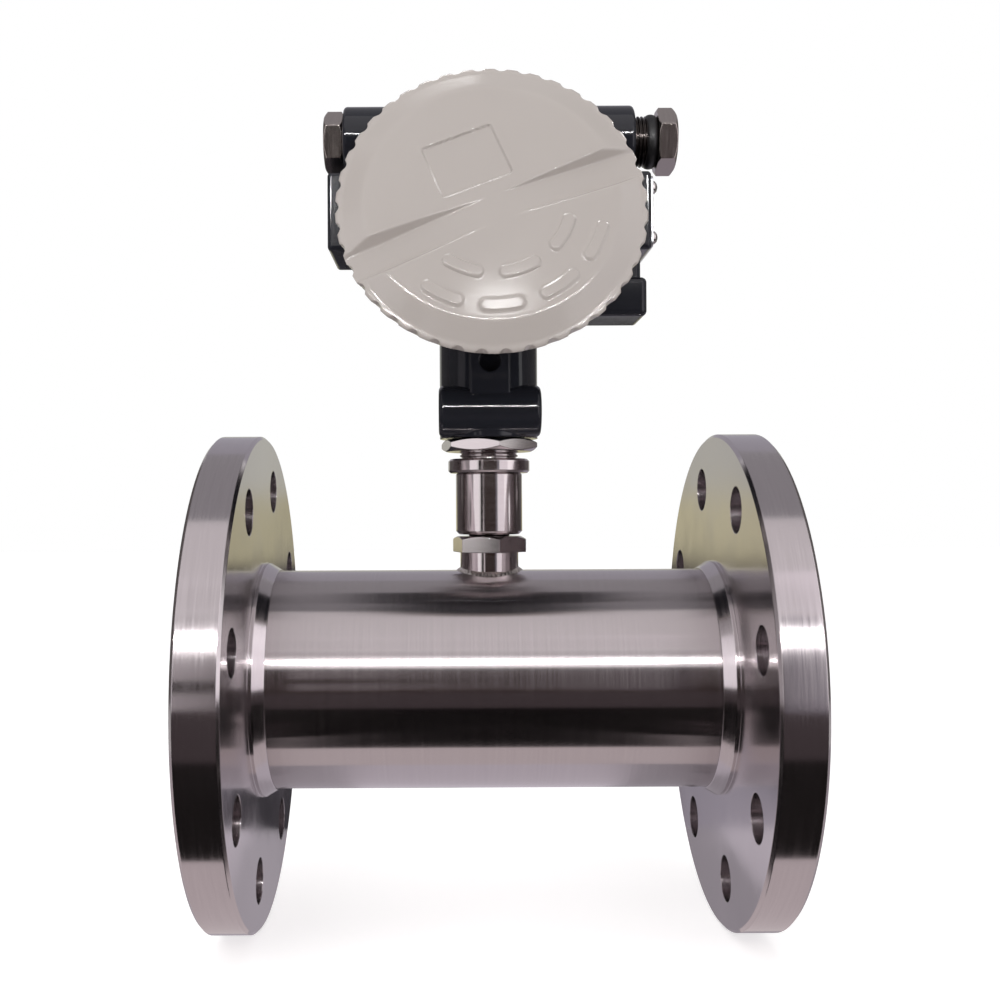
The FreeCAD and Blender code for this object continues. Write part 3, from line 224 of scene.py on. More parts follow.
def enamel(name, tint, low_tint, roughness, ripple, ripple_depth, wave_depth, edge):
    """Glossy paint: two shades in slow patches, a fine ripple and a slow wave as bump, rounded edges."""
    material, place, output = new_material(name)
    slow = add_node(material, "ShaderNodeTexNoise", {
        "Vector": place, "Scale": per_mm(wave_size), "Detail": 0.0})
    fine = add_node(material, "ShaderNodeTexNoise", {
        "Vector": place, "Scale": per_mm(ripple), "Detail": 0.0})
    shade = add_node(material, "ShaderNodeMix", {
        "Factor": slow.outputs["Fac"], "A": hex_colour(low_tint), "B": hex_colour(tint)}, data_type="RGBA")
    gloss = add_node(material, "ShaderNodeMapRange", {
        "Value": slow.outputs["Fac"],
        "To Min": roughness - enamel_spread, "To Max": roughness + enamel_spread})
    rounded = add_node(material, "ShaderNodeBevel", {"Radius": edge * MM}, samples=8)
    waves = add_node(material, "ShaderNodeBump", {
        "Height": slow.outputs["Fac"], "Strength": 1.0, "Distance": wave_depth * MM,
        "Normal": rounded.outputs["Normal"]})
    ripples = add_node(material, "ShaderNodeBump", {
        "Height": fine.outputs["Fac"], "Strength": 1.0, "Distance": ripple_depth * MM,
        "Normal": waves.outputs["Normal"]})
    shader = add_node(material, "ShaderNodeBsdfPrincipled", {
        "Base Color": shade.outputs["Result"], "Roughness": gloss.outputs["Result"],
        "IOR": 1.5, "Normal": ripples.outputs["Normal"]})
    finish_material(material, shader.outputs["BSDF"], output)
    return material


# The casting: so dark and glossy that each round form shows as one sharp line of light.
dark_enamel = enamel("dark_enamel_on_casting", "#292a31", "#25262c", 0.07, 2.0, 0.002, 0.08, 0.9)
# The cover: smooth and calm, with a soft glow where it mirrors a lamp.
grey_enamel = enamel("warm_grey_enamel_on_casting", "#c0b8b3", "#beb6b1", 0.13, 2.4, 0.0010, 0.01, 0.25)
print("enamels:", dark_enamel.name, grey_enamel.name)

# %% [markdown]
# ## Rubber, plastics, winding and circuit board
# The rings are moulded nitrile rubber, with a dull sheen and a faint dusty bloom. The pieces inside the
# head and the pickup are seen only when the head is open, and one plain grey would do for them in this
# view, but the part is also opened and turned, so each has its own finish.

# %% Moulded and wound materials
moulded_spread = 0.05


def moulded(name, tint, low_tint, roughness, grain, grain_depth):
    """Moulded plastic or rubber: a fine grain as bump and two close shades."""
    material, place, output = new_material(name)
    grains = add_node(material, "ShaderNodeTexNoise", {
        "Vector": place, "Scale": per_mm(grain), "Detail": 4.0})
    shade = add_node(material, "ShaderNodeMix", {
        "Factor": grains.outputs["Fac"], "A": hex_colour(low_tint), "B": hex_colour(tint)}, data_type="RGBA")
    gloss = add_node(material, "ShaderNodeMapRange", {
        "Value": grains.outputs["Fac"], "From Min": noise_low, "From Max": noise_high,
        "To Min": roughness - moulded_spread, "To Max": roughness + moulded_spread})
    bump = add_node(material, "ShaderNodeBump", {
        "Height": grains.outputs["Fac"], "Strength": 1.0, "Distance": grain_depth * MM})
    shader = add_node(material, "ShaderNodeBsdfPrincipled", {
        "Base Color": shade.outputs["Result"], "Roughness": gloss.outputs["Result"], "IOR": 1.5,
        "Normal": bump.outputs["Normal"]})
    finish_material(material, shader.outputs["BSDF"], output)
    return material


# Rubber rings: black and dull, with a broad faint sheen.
nitrile = moulded("moulded_nitrile_rubber", "#17171a", "#0d0d0f", 0.42, 0.8, 0.010)
# The bobbin: cream and slightly waxy.
nylon = moulded("natural_nylon", "#e2dccb", "#d4ccb8", 0.45, 1.0, 0.010)
# Circuit boards: glossy green lacquer.
laminate = moulded("green_solder_mask", "#1c6b3a", "#15552e", 0.25, 0.6, 0.004)
# Parts on the board and the lead's socket: matt black.
black_plastic = moulded("black_moulding", "#242426", "#161618", 0.40, 0.5, 0.008)
# The terminal block: a lighter, satin green.
green_plastic = moulded("green_moulding", "#3c9a52", "#2f8445", 0.35, 0.8, 0.006)
# The lead: a soft dark jacket.
jacket = moulded("extruded_lead_jacket", "#2b2b2e", "#1f1f22", 0.45, 0.9, 0.010)
# Standoffs and earth screw: pale yellow metal with small highlights.
brass = turned_metal("plated_brass", "#d8c48e", "#c4ae78", 0.22, 0.05, (0.5, 6.0), 0.0015, 0.25, axis="Z")
# The coil: copper, drawn up in fine level turns of wire.
copper = turned_metal("enamelled_copper_winding", "#c8743c", "#8e4a22", 0.30, 0.06, (0.35, 9.0), 0.03, 0.1,
                      axis="Z")
# The nameplate, anodised: pale and satin, without a clear reflection.
anodised = turned_metal("anodised_aluminium_plate", "#d9dade", "#c9cace", 0.32, 0.05, (0.4, 20.0), 0.0015,
                        0.3, axis="Z")
print("materials now:", len(bpy.data.materials))

# %% [markdown]
# ## A finish for every solid
# Each solid of the frame has a name that says what it is. The finishes could be given one by one in the
# material tab, but one table of names is easier to check: a solid that it forgets stops the script.

# %% Finish of each solid
finishes = {
    "body_tube": polished_tube, "inlet_flange": turned_flange, "outlet_flange": turned_flange,
    "upstream_support": turned_flange, "downstream_support": turned_flange,
    "upstream_bush": machined_dark, "downstream_bush": machined_dark,
    "upstream_thrust_pad": machined_dark, "downstream_thrust_pad": machined_dark,
    "inlet_retaining_ring": machined_dark, "outlet_retaining_ring": machined_dark,
    "rotor_hub": milled_rotor, "rotor_blades": milled_rotor, "rotor_shaft": machined_dark,
    "sensor_boss": turned_upright, "boss_weld": weld_metal_painted_bright, "jam_nut": turned_upright,
    "sensor_sleeve": turned_upright, "sleeve_adapter": turned_upright, "lock_nut": turned_upright,
    "pickup_bobbin": nylon, "pickup_coil": copper, "pole_piece": machined_dark,
    "pickup_magnet": machined_dark, "preamp_board": laminate, "lock_nut_seal": nitrile,
    "housing": dark_enamel, "front_cover": grey_enamel, "cover_seal": nitrile,
    "nameplate": anodised, "nameplate_rivets": bright_rivet, "circuit_board": laminate,
    "board_standoffs": brass, "board_screws": nickel_plate, "earth_screw": brass,
    "terminal_block": green_plastic, "terminal_screws": nickel_plate, "board_components": black_plastic,
    "lead_socket": black_plastic, "signal_lead": jacket,
    "left_plug": nickel_plate, "right_plug": nickel_plate,
    "left_plug_seal": nitrile, "right_plug_seal": nitrile,
}
for name, obj in nodes.items():
    obj.data.materials.clear()
    obj.data.materials.append(finishes[name])
print("solids with a finish:", len(nodes), "of", len(finishes), "in the table")

# %% [markdown]
# ## A skin through rings
# All the new pieces are rings of points, one after the other: around the cover, around the weld and along
# a plug. Each could be modelled by hand, but then none could be measured or changed by its sizes. One
# function turns such an array of rings into a closed mesh. Each square between two rings and two columns
# becomes a face, the last column joins the first, and an end is closed by a fan around a centre point, so
# no seam or pole stays open.

# %% Mesh from rings
def skin(name, rings, start=None, end=None, loop=False, sharp=35.0):
    """Faces (i, j), (i, j+1), (i+1, j+1), (i+1, j) between rings i and i+1, with j taken round the ring.
    start and end are centre points that close the first and the last ring; loop joins last to first."""
    count, columns = rings.shape[:2]
    points = rings.reshape(-1, 3)
    j = np.arange(columns)
    following = (j + 1) % columns
    i = np.arange(count if loop else count - 1)[:, None]
    upper = ((i + 1) % count) * columns
    quads = np.stack([i * columns + j, i * columns + following, upper + following, upper + j], axis=-1)
    loops = [quads.reshape(-1)]
    starts = [np.full(quads.size // 4, 4)]
    for centre, ring, turn in ((start, 0, -1), (end, count - 1, 1)):
        if centre is None:
            continue
        hub = len(points)
        points = np.vstack([points, centre])
        fan = np.stack([ring * columns + j, ring * columns + following, np.full(columns, hub)], axis=-1)
        loops.append(fan[:, ::turn].reshape(-1))
        starts.append(np.full(columns, 3))
    loops = np.concatenate(loops)
    sizes = np.concatenate(starts)
    mesh = bpy.data.meshes.new(name)
    mesh.vertices.add(len(points))
    mesh.vertices.foreach_set("co", points.astype(np.float32).reshape(-1))
    mesh.loops.add(len(loops))
    mesh.loops.foreach_set("vertex_index", loops.astype(np.int32))
    mesh.polygons.add(len(sizes))
    mesh.polygons.foreach_set("loop_start", (np.cumsum(sizes) - sizes).astype(np.int32))
    mesh.polygons.foreach_set("use_smooth", np.ones(len(sizes), dtype=bool))
    mesh.update(calc_edges=True)
    mesh.validate()
    mesh.set_sharp_from_angle(angle=math.radians(sharp))
    obj = bpy.data.objects.new(name, mesh)
    bpy.context.scene.collection.objects.link(obj)
    print(name, "faces:", len(sizes), "triangles:", int((sizes - 2).sum()))
    return obj


# %% Soft corners
def soft_min(a, b, k):
    """Lower of two heights with a rounded corner of about k: half of a + b less the root of
    (a - b) squared plus k squared."""
    return 0.5 * (a + b - np.sqrt((a - b) ** 2 + k ** 2))


def soft_max(a, b, k):
    """Higher of two heights, rounded in the same way."""
    return -soft_min(-a, -b, k)


def soft_step(inside, width):
    """0 outside and 1 inside an outline, from the distance inside it, easing over width."""
    t = np.clip(inside / width + 0.5, 0, 1)
    return t * t * (3 - 2 * t)


print("a soft corner with k = 0.4 mm takes off", round(float(1.0 - soft_min(1.0, 1.0, 0.4)), 2), "mm")

# %% [markdown]
# ## The cover
# The cover is a die casting: a flat face with a soft bevelled edge, a drafted wrench groove that deepens
# from the middle to the rim on both sides, a framed field, plain raised bars on two arcs, and a grip of
# 42 scallops. It could be cut out of a disc with Booleans, which leave every edge sharp. On paper it is a
# height over a disc, so the face is a height field on a polar grid, and the rim, the screwed skirt and the
# inside follow as further rings. Every edge is a soft minimum or maximum, which gives the rounding that a
# mould leaves.

# %% Cover sizes
cover_tilt = math.radians(14.0)
cover_centre = np.array([meter_middle, -50.0, 183.1])
cover_across = np.array([1.0, 0.0, 0.0])
cover_up = np.array([0.0, math.sin(cover_tilt), math.cos(cover_tilt)])
cover_out = np.array([0.0, -math.cos(cover_tilt), math.sin(cover_tilt)])
face_edge, flat_edge, face_rise, crown, hinge = 56.0, 47.6, 4.7, 1.1, 0.5
scallops, scallop_circle, scallop_radius, scallop_round = 42, 59.6, 2.5, 0.15
columns_per_scallop, face_rings, first_ring, last_ring = 14, 96, 0.7, face_edge - 0.3
print("circle of the scallop cutters in mm:", 2 * scallop_circle,
      "columns of the mesh:", scallops * columns_per_scallop)

# %% Wrench groove
groove_turn = math.radians(22.0)
groove_start, groove_half, groove_fall, groove_draft = 5.0, 5.2, 6.0, math.radians(35.0)
groove_offset, groove_foot, groove_edge = -4.0, 0.4, 0.3


def along_and_across(x, y):
    """Coordinates turned into the groove's line: x cos + y sin along it, and y cos - x sin across it."""
    return (x * math.cos(groove_turn) + y * math.sin(groove_turn),
            y * math.cos(groove_turn) - x * math.sin(groove_turn))


def wrench_groove(x, y):
    """Height of the wrench groove: a floor that falls from the middle outwards on both sides, between two
    drafted walls."""
    along, across = along_and_across(x, y)
    floor = face_rise - groove_fall * (np.abs(along) - groove_start) / (face_edge - groove_start)
    wall = floor + (np.abs(across - groove_offset) - groove_half) / math.tan(groove_draft)
    return soft_max(floor, wall, groove_foot)


rim_x, rim_y = face_edge * math.cos(groove_turn), face_edge * math.sin(groove_turn)
print("groove floor at the rim in mm:", round(float(wrench_groove(rim_x, rim_y)), 2))

# %% Framed field and raised bars
field_half, field_corner, field_sink, field_place, field_ease = (14.0, 11.0), 1.2, 0.8, (-9.2, 16.0), 0.6
bar_arcs = ((29.3, 3), (41.8, 4))
bar_first, bar_last, bar_gap, bar_half, bar_rise, bar_ease = 232.0, 348.0, 6.0, 2.3, 0.8, 0.9


def sink_field(height, x, y):
    """Lowers a rectangle with round corners. The distance outside it is that beyond its corner's centre, or
    the larger of the two sides' where that is inside, less the corner's radius."""
    u, v = along_and_across(x - field_place[0], y - field_place[1])
    over_u = np.abs(u) - field_half[0] + field_corner
    over_v = np.abs(v) - field_half[1] + field_corner
    beyond_corner = np.hypot(np.maximum(over_u, 0), np.maximum(over_v, 0))
    outside = beyond_corner + np.minimum(np.maximum(over_u, over_v), 0)
    return height - field_sink * soft_step(field_corner - outside, field_ease)


def raise_bars(height, x, y):
    """Raises bars with round ends on arcs of a radius and a count: all that lies within bar_half of a piece
    of the arc. bar_first and bar_last are where an arc's bars begin and end, in degrees."""
    r = np.hypot(x, y)
    angle = np.degrees(np.arctan2(y, x)) % 360
    for radius, count in bar_arcs:
        gap = math.degrees(bar_gap / radius)
        span = (bar_last - bar_first - gap * (count - 1)) / count
        cap = math.degrees(bar_half / radius)
        for k in range(count):
            middle = bar_first + k * (span + gap) + span / 2
            beyond = np.radians(np.maximum(np.abs(angle - middle) - span / 2 + cap, 0)) * radius
            height = height + bar_rise * soft_step(bar_half - np.hypot(r - radius, beyond), bar_ease)
    return height


print("bars:", sum(count for radius, count in bar_arcs), "on", len(bar_arcs), "arcs")

# %% Cover face and scalloped rim
def cover_face(x, y):
    """Height of the face over its disc: a shallow dome that falls by crown, a steeper bevel beyond a rounded
    hinge at flat_edge, cut by the wrench groove, sunk in the framed field and raised on the bars."""
    r = np.hypot(x, y)
    dome_slope = 2 * crown / flat_edge
    bevel_slope = (face_rise - crown) / (face_edge - flat_edge)
    dome = np.where(r < flat_edge, crown * (r / flat_edge) ** 2, crown + dome_slope * (r - flat_edge))
    height = face_rise - dome
    height = height - (bevel_slope - dome_slope) * hinge * np.logaddexp(0, (r - flat_edge) / hinge)
    height = soft_min(height, wrench_groove(x, y), groove_edge)
    return raise_bars(sink_field(height, x, y), x, y)


def scalloped(radius, angle):
    """Radius of the rim cut by a ring of round cutters, each of scallop_radius on scallop_circle."""
    pitch = 2 * math.pi / scallops
    turn = (angle + pitch / 2) % pitch - pitch / 2
    side = np.clip((scallop_circle * np.sin(turn) / scallop_radius) ** 2, 0, 1)
    cut = scallop_circle * np.cos(turn) - scallop_radius * np.sqrt(1 - side)
    cut = np.where(side < 1, cut, scallop_circle)
    return soft_min(radius, cut, scallop_round)


face_middle = float(cover_face(np.zeros(1), np.zeros(1))[0])
print("height of the face's middle in mm:", round(face_middle, 2))

# %% Rim, skirt and inside as points (radius, height)
rim_points = np.array([
    (56.6, -0.10), (57.3, -0.20), (57.8, -0.35), (58.25, -0.62), (58.5, -0.95), (58.55, -1.4), (58.0, -2.9),
    (57.3, -4.6), (57.0, -5.3), (56.75, -5.8), (56.4, -6.3), (56.0, -6.8), (55.6, -7.0)])
plain_below, rim_round = -5.5, 0.1
skirt_root, skirt_crest, skirt_turns, skirt_pitch, skirt_start, skirt_end = 46.0, 47.0, 4, 2.3, -8.2, -18.0
inside_radius, inside_height = 42.0, -1.5
skirt = [(50.0, -7.0), (46.6, -7.0), (46.4, -7.2), (skirt_root, -8.0)]
for turn in range(skirt_turns):
    top = skirt_start - skirt_pitch * turn
    skirt += [(skirt_root, top), (skirt_crest, top - 0.8), (skirt_crest, top - 1.4), (skirt_root, top - 2.2)]
hollow = [(45.5, skirt_end), (inside_radius, skirt_end), (inside_radius, -10.0),
          (inside_radius, inside_height), (30.0, inside_height), (12.0, inside_height)]
back_points = np.array(skirt + hollow)
print("points of the rim:", len(rim_points), "and of the back:", len(back_points))


# %% Cover casting
def make_cover():
    """Rings from the middle of the face out to the rim, back along the skirt's thread and in again. A point
    (r, angle, w) stands at the centre + r cos(angle) across + r sin(angle) up + w out."""
    angle = np.linspace(0, 2 * math.pi, scallops * columns_per_scallop, endpoint=False)
    radii = np.linspace(first_ring, last_ring, face_rings)
    face_r = np.repeat(radii[:, None], len(angle), axis=1)
    face_w = cover_face(face_r * np.cos(angle), face_r * np.sin(angle))
    rim_r = scalloped(np.repeat(rim_points[:, :1], len(angle), axis=1), angle)
    plain = rim_points[:, 1] < plain_below
    rim_r[plain] = rim_points[plain, :1]
    rim_w = np.repeat(rim_points[:, 1:], len(angle), axis=1)
    rim_w = soft_min(rim_w, wrench_groove(rim_r * np.cos(angle), rim_r * np.sin(angle)), rim_round)
    back_r = np.repeat(back_points[:, :1], len(angle), axis=1)
    back_w = np.repeat(back_points[:, 1:], len(angle), axis=1)
    r = np.vstack([face_r, rim_r, back_r])
    w = np.vstack([face_w, rim_w, back_w])
    x = r * np.cos(angle)
    y = r * np.sin(angle)
    rings = cover_centre + x[..., None] * cover_across + y[..., None] * cover_up + w[..., None] * cover_out
    middle_out = cover_centre + face_middle * cover_out
    middle_in = cover_centre + inside_height * cover_out
    return skin("cover_casting", rings[::-1] * MM, start=middle_in * MM, end=middle_out * MM)


cover = make_cover()
cover.data.materials.append(grey_enamel)
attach(cover, "cover")
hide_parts("front_cover")

# %% [markdown]
# ## The weld around the boss
# The boss stands through the tube's wall and is welded round it by hand. The bead is a ring of small
# frozen scales on the saddle line where the two cylinders meet. A bump in the material could draw the
# scales, but the bead's outline would stay straight. So it is a section carried along that line: its foot
# on the tube and its top on the boss, bulging between them, with the scales as a ripple in the mesh.

# %% Weld bead
boss_radius, weld_leg, weld_rise, weld_swell, foot_sunk, root_sunk = 12.06, 1.9, 0.75, 0.12, 0.15, 0.4
weld_scales, columns_per_scale, section_points, scale_height = 44, 12, 13, 0.14
scale_drift, scale_curve, toe_power = 1.2, 5.5, 1.6


def tube_wall(y):
    """Height of the tube's outside above its axis, sqrt(R^2 - y^2)."""
    return np.sqrt(tube_radius ** 2 - y ** 2)


def make_weld():
    """Section (place t across the bead, 0 at the boss) carried round the boss (angle a): the inner corner
    stays buried, the outer arc bulges with sin(pi t), and a ripple of the scales moves it in and out. Their
    spacing drifts a little around the boss, and each scale curves back at both edges of the bead."""
    a = np.linspace(0, 2 * math.pi, weld_scales * columns_per_scale, endpoint=False)[None, :]
    t = np.linspace(0, 1, section_points)[:, None]
    rng = np.random.default_rng(7)
    wobble = sum(rng.uniform(0.05, 0.14) * np.cos(k * a + rng.uniform(0, 6.28)) for k in (3, 5, 8, 13))
    scale_phase = weld_scales * a + scale_drift * np.sin(7 * a) + scale_curve * (t - 0.5) ** 2
    ripple = scale_height * np.abs(np.sin(scale_phase / 2)) - scale_height / 2
    leg = weld_leg + wobble
    swell = np.sin(math.pi * t) * (weld_swell + ripple)
    radius = boss_radius + leg * t + swell
    top = tube_wall(radius * np.sin(a)) + weld_rise * leg * (1 - t) ** toe_power + swell - foot_sunk
    outer = np.stack([meter_middle + radius * np.cos(a), radius * np.sin(a), top], axis=-1)
    root = tube_wall(boss_radius * np.sin(a)) - root_sunk
    inner = np.stack([meter_middle + boss_radius * np.cos(a), boss_radius * np.sin(a), root], axis=-1)
    rings = np.concatenate([outer, inner], axis=0)
    return skin("weld_scales", rings[::-1] * MM, loop=True, sharp=60.0)


weld = make_weld()
# the weld's colour is painted brighter than the tube: a painted highlight
weld.data.materials.append(weld_metal_painted_bright)
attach(weld, "meter")
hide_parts("boss_weld")

# %% [markdown]
# ## The screw plugs
# Both plugs are turned from hexagon bar: a low head with both ends chamfered, a plain neck, and a thread
# whose colour is painted dark as painted shade for the dark parts it mirrors. Each stands turned by the odd
# angle at which its thread came to rest. A bevelled prism would come close, but its chamfer has straight
# edges. On paper a plug is a set of rings around a line across the head. The six-sided rings have the radius
# apothem / cos(angle from the middle of the flat), cut down to a cone near the ends, and that cut gives the
# curved edges of a chamfered bolt head.

# %% Plug sizes
plug_place, plug_seat = np.array([meter_middle, -12.0, 218.0]), 58.3
plug_columns, thread_rings, seal_columns, seal_section = 240, 118, 144, 40
thread_end, thread_start, thread_tip = -16.1, -4.4, 1.2
thread_pitch, thread_root, thread_height = 1.5, 9.18, 0.8
neck_points = np.array([(-4.2, 9.0), (-4.0, 7.6), (0.0, 7.6)])
head_height, inner_chamfer, outer_chamfer, chamfer_slope = 7.5, 1.04, 0.98, 1.6
head_places = np.concatenate([
    np.linspace(0, 1.2, 9), np.linspace(1.5, 6.0, 6), np.linspace(6.3, head_height, 9)])
turns_out, seal_step, seal_behind_head = 5.5, 1.0, 2.35
right_plug_out = turns_out * thread_pitch + seal_step
print("right plug stands out by mm:", right_plug_out)


# %% Plug and seal surfaces
def make_plug(name, side, out, flats, turn):
    """Rings at places s along the plug, outwards from its seat: hexagon radius flats / 2 / cos(fold) and at
    most the chamfer cone on the head, and a clipped cosine of thread_pitch on the thread."""
    fold = np.linspace(0, 2 * math.pi, plug_columns, endpoint=False)
    angle = fold + math.radians(turn)
    hexagon = flats / 2 / np.cos((fold % (math.pi / 3)) - math.pi / 6)
    thread_s = np.linspace(thread_end, thread_start, thread_rings)
    wave = np.clip(0.5 + 0.9 * np.cos(2 * math.pi * (thread_s - thread_start) / thread_pitch), 0, 1)
    thread_r = thread_root + thread_height * wave * np.clip((thread_s - thread_end) / thread_tip, 0.1, 1)
    round_s = np.concatenate([thread_s, neck_points[:, 0]])
    round_r = np.concatenate([thread_r, neck_points[:, 1]])
    chamfer = np.where(head_places < head_height / 2, inner_chamfer, outer_chamfer)
    cone = flats / 2 * chamfer + chamfer_slope * np.minimum(head_places, head_height - head_places)
    head_r = np.minimum(hexagon[None, :], cone[:, None])
    r = np.vstack([np.repeat(round_r[:, None], len(fold), axis=1), head_r])
    s = np.concatenate([round_s, head_places])[:, None] + np.zeros_like(fold)
    base = plug_seat + out
    points = np.stack([side * (base + s), -r * np.cos(angle), r * np.sin(angle)], axis=-1) + plug_place
    inner = plug_place + [side * (base + thread_end), 0, 0]
    outer = plug_place + [side * (base + head_height), 0, 0]
    if side > 0:
        return skin(name, points[::-1] * MM, start=outer * MM, end=inner * MM, sharp=20.0)
    return skin(name, points * MM, start=inner * MM, end=outer * MM, sharp=20.0)


def make_seal(name, place, outside, wide, high):
    """Rubber ring around the plug's neck: an ellipse of half-axes wide and high carried round the axis."""
    a = np.linspace(0, 2 * math.pi, seal_columns, endpoint=False)[None, :]
    t = np.linspace(0, 2 * math.pi, seal_section, endpoint=False)[:, None]
    r = outside / 2 - high + high * np.cos(t)
    x = place + wide * np.sin(t) + np.zeros_like(a)
    rings = np.stack([x, r * np.cos(a), r * np.sin(a)], axis=-1) + plug_place
    return skin(name, rings * MM, loop=True, sharp=60.0)


# %% Both plugs and the right one's seal
plugs = {
    "left_plug": make_plug("left_screw_plug", side=-1, out=0.0, flats=21.6, turn=17.8),
    "right_plug": make_plug("right_screw_plug", side=1, out=right_plug_out, flats=23.0, turn=15.6),
}
for body, plug in plugs.items():
    plug.data.materials.append(nickel_plate)
    # the thread's colour is painted dark: painted shade
    plug.data.materials.append(thread_painted_shade)
    middles = np.empty(len(plug.data.polygons) * 3)
    plug.data.polygons.foreach_get("center", middles)
    outwards = np.abs(middles.reshape(-1, 3)[:, 0] - plug_place[0] * MM)
    head = outwards > outwards.max() - (head_height + 0.2) * MM
    plug.data.polygons.foreach_set("material_index", np.where(head, 0, 1).astype(np.int32))
    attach(plug, body)
    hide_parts(body)
    print(plug.name, "faces of the head:", int(head.sum()), "and of the thread:", int((~head).sum()))

seal_place = plug_seat + right_plug_out - seal_behind_head
seal = make_seal("right_seal_ring", seal_place, outside=21.4, wide=2.3, high=1.55)
seal.data.materials.append(nitrile)
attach(seal, "right_plug_ring")
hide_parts("right_plug_seal")

# %% [markdown]
# ## Camera
# The camera was worked out from the photograph: the outlines of both flange rims and their bolt holes
# give its place in metres, its lens and where the picture's centre lies. It looks along y, apart from
# turns of a few thousandths of a radian, and the picture's middle lies about 20 mm beside that line. The
# camera could be turned that far, but then one flange would come out larger than the other, so the lens is
# shifted sideways.

# %% Camera
camera_place = (0.09704, -0.48605, 0.07108)
pitch, roll, yaw = 0.005, 0.005, 0.001
lens = bpy.data.cameras.new("photo_camera")
lens.lens = 42.17
lens.sensor_width = 36.0
lens.shift_x = 0.0494
lens.clip_start = 0.01
camera = bpy.data.objects.new("photo_camera", lens)
camera.location = camera_place
camera.rotation_euler = (math.pi / 2 + pitch, roll, yaw)
bpy.context.scene.collection.objects.link(camera)
bpy.context.scene.camera = camera
print("camera at", [round(v, 3) for v in camera.location])

# %% [markdown]
# ## Floor, cards and light
# Polished steel shows the room rather than itself. The photograph's tube mirrors a long lamp in front and
# above, a dark room behind the camera, a bright ceiling and a dim wall behind the meter. A picture of a
# studio could be wrapped around the scene, but it would lie endlessly far away, and the reflections on
# near and flat faces would come out wrong. So the same things stand here as cards that only reflections
# can see.

# %% Card helpers
def flat_card(name, corner, side_a, side_b, material):
    """A rectangle from one corner and its two sides, given in metres."""
    corner, side_a, side_b = (np.array(v, dtype=float) for v in (corner, side_a, side_b))
    mesh = bpy.data.meshes.new(name)
    points = [corner, corner + side_a, corner + side_a + side_b, corner + side_b]
    mesh.from_pydata([tuple(p) for p in points], [], [(0, 1, 2, 3)])
    mesh.materials.append(material)
    obj = bpy.data.objects.new(name, mesh)
    bpy.context.scene.collection.objects.link(obj)
    return obj


def glow(name, tint, strength):
    """A plain emitting card."""
    material, _, output = new_material(name)
    shader = add_node(material, "ShaderNodeEmission", {"Color": hex_colour(tint), "Strength": strength})
    finish_material(material, shader.outputs["Emission"], output)
    return material


# %% Floor, lifted towards white for the camera alone, so that the shadow stays
floor_level, floor_reach, floor_grain, floor_lift = -0.1001, 4, 30.0, 0.6
floor_paint, floor_place, floor_output = new_material("pale_floor")
floor_patches = add_node(floor_paint, "ShaderNodeTexNoise", {
    "Vector": floor_place, "Scale": per_mm(floor_grain), "Detail": 2.0})
floor_shade = add_node(floor_paint, "ShaderNodeMix", {
    "Factor": floor_patches.outputs["Fac"], "A": hex_colour("#dedcdc"), "B": hex_colour("#e4e2e2")},
    data_type="RGBA")
floor_shader = add_node(floor_paint, "ShaderNodeBsdfPrincipled", {
    "Base Color": floor_shade.outputs["Result"], "Roughness": 0.7})
floor_ray = add_node(floor_paint, "ShaderNodeLightPath")
floor_strength = add_node(floor_paint, "ShaderNodeMath", {
    0: floor_ray.outputs["Is Camera Ray"], 1: floor_lift}, operation="MULTIPLY")
floor_white = add_node(floor_paint, "ShaderNodeEmission", {
    "Color": hex_colour("#ffffff"), "Strength": floor_strength.outputs["Value"]})
floor_sum = add_node(floor_paint, "ShaderNodeAddShader", {
    0: floor_shader.outputs["BSDF"], 1: floor_white.outputs["Emission"]})
finish_material(floor_paint, floor_sum.outputs["Shader"], floor_output)
flat_card("floor", (-floor_reach, -floor_reach, floor_level),
          (2 * floor_reach, 0, 0), (0, 2 * floor_reach, 0), floor_paint)
print("floor in mm:", floor_level / MM)

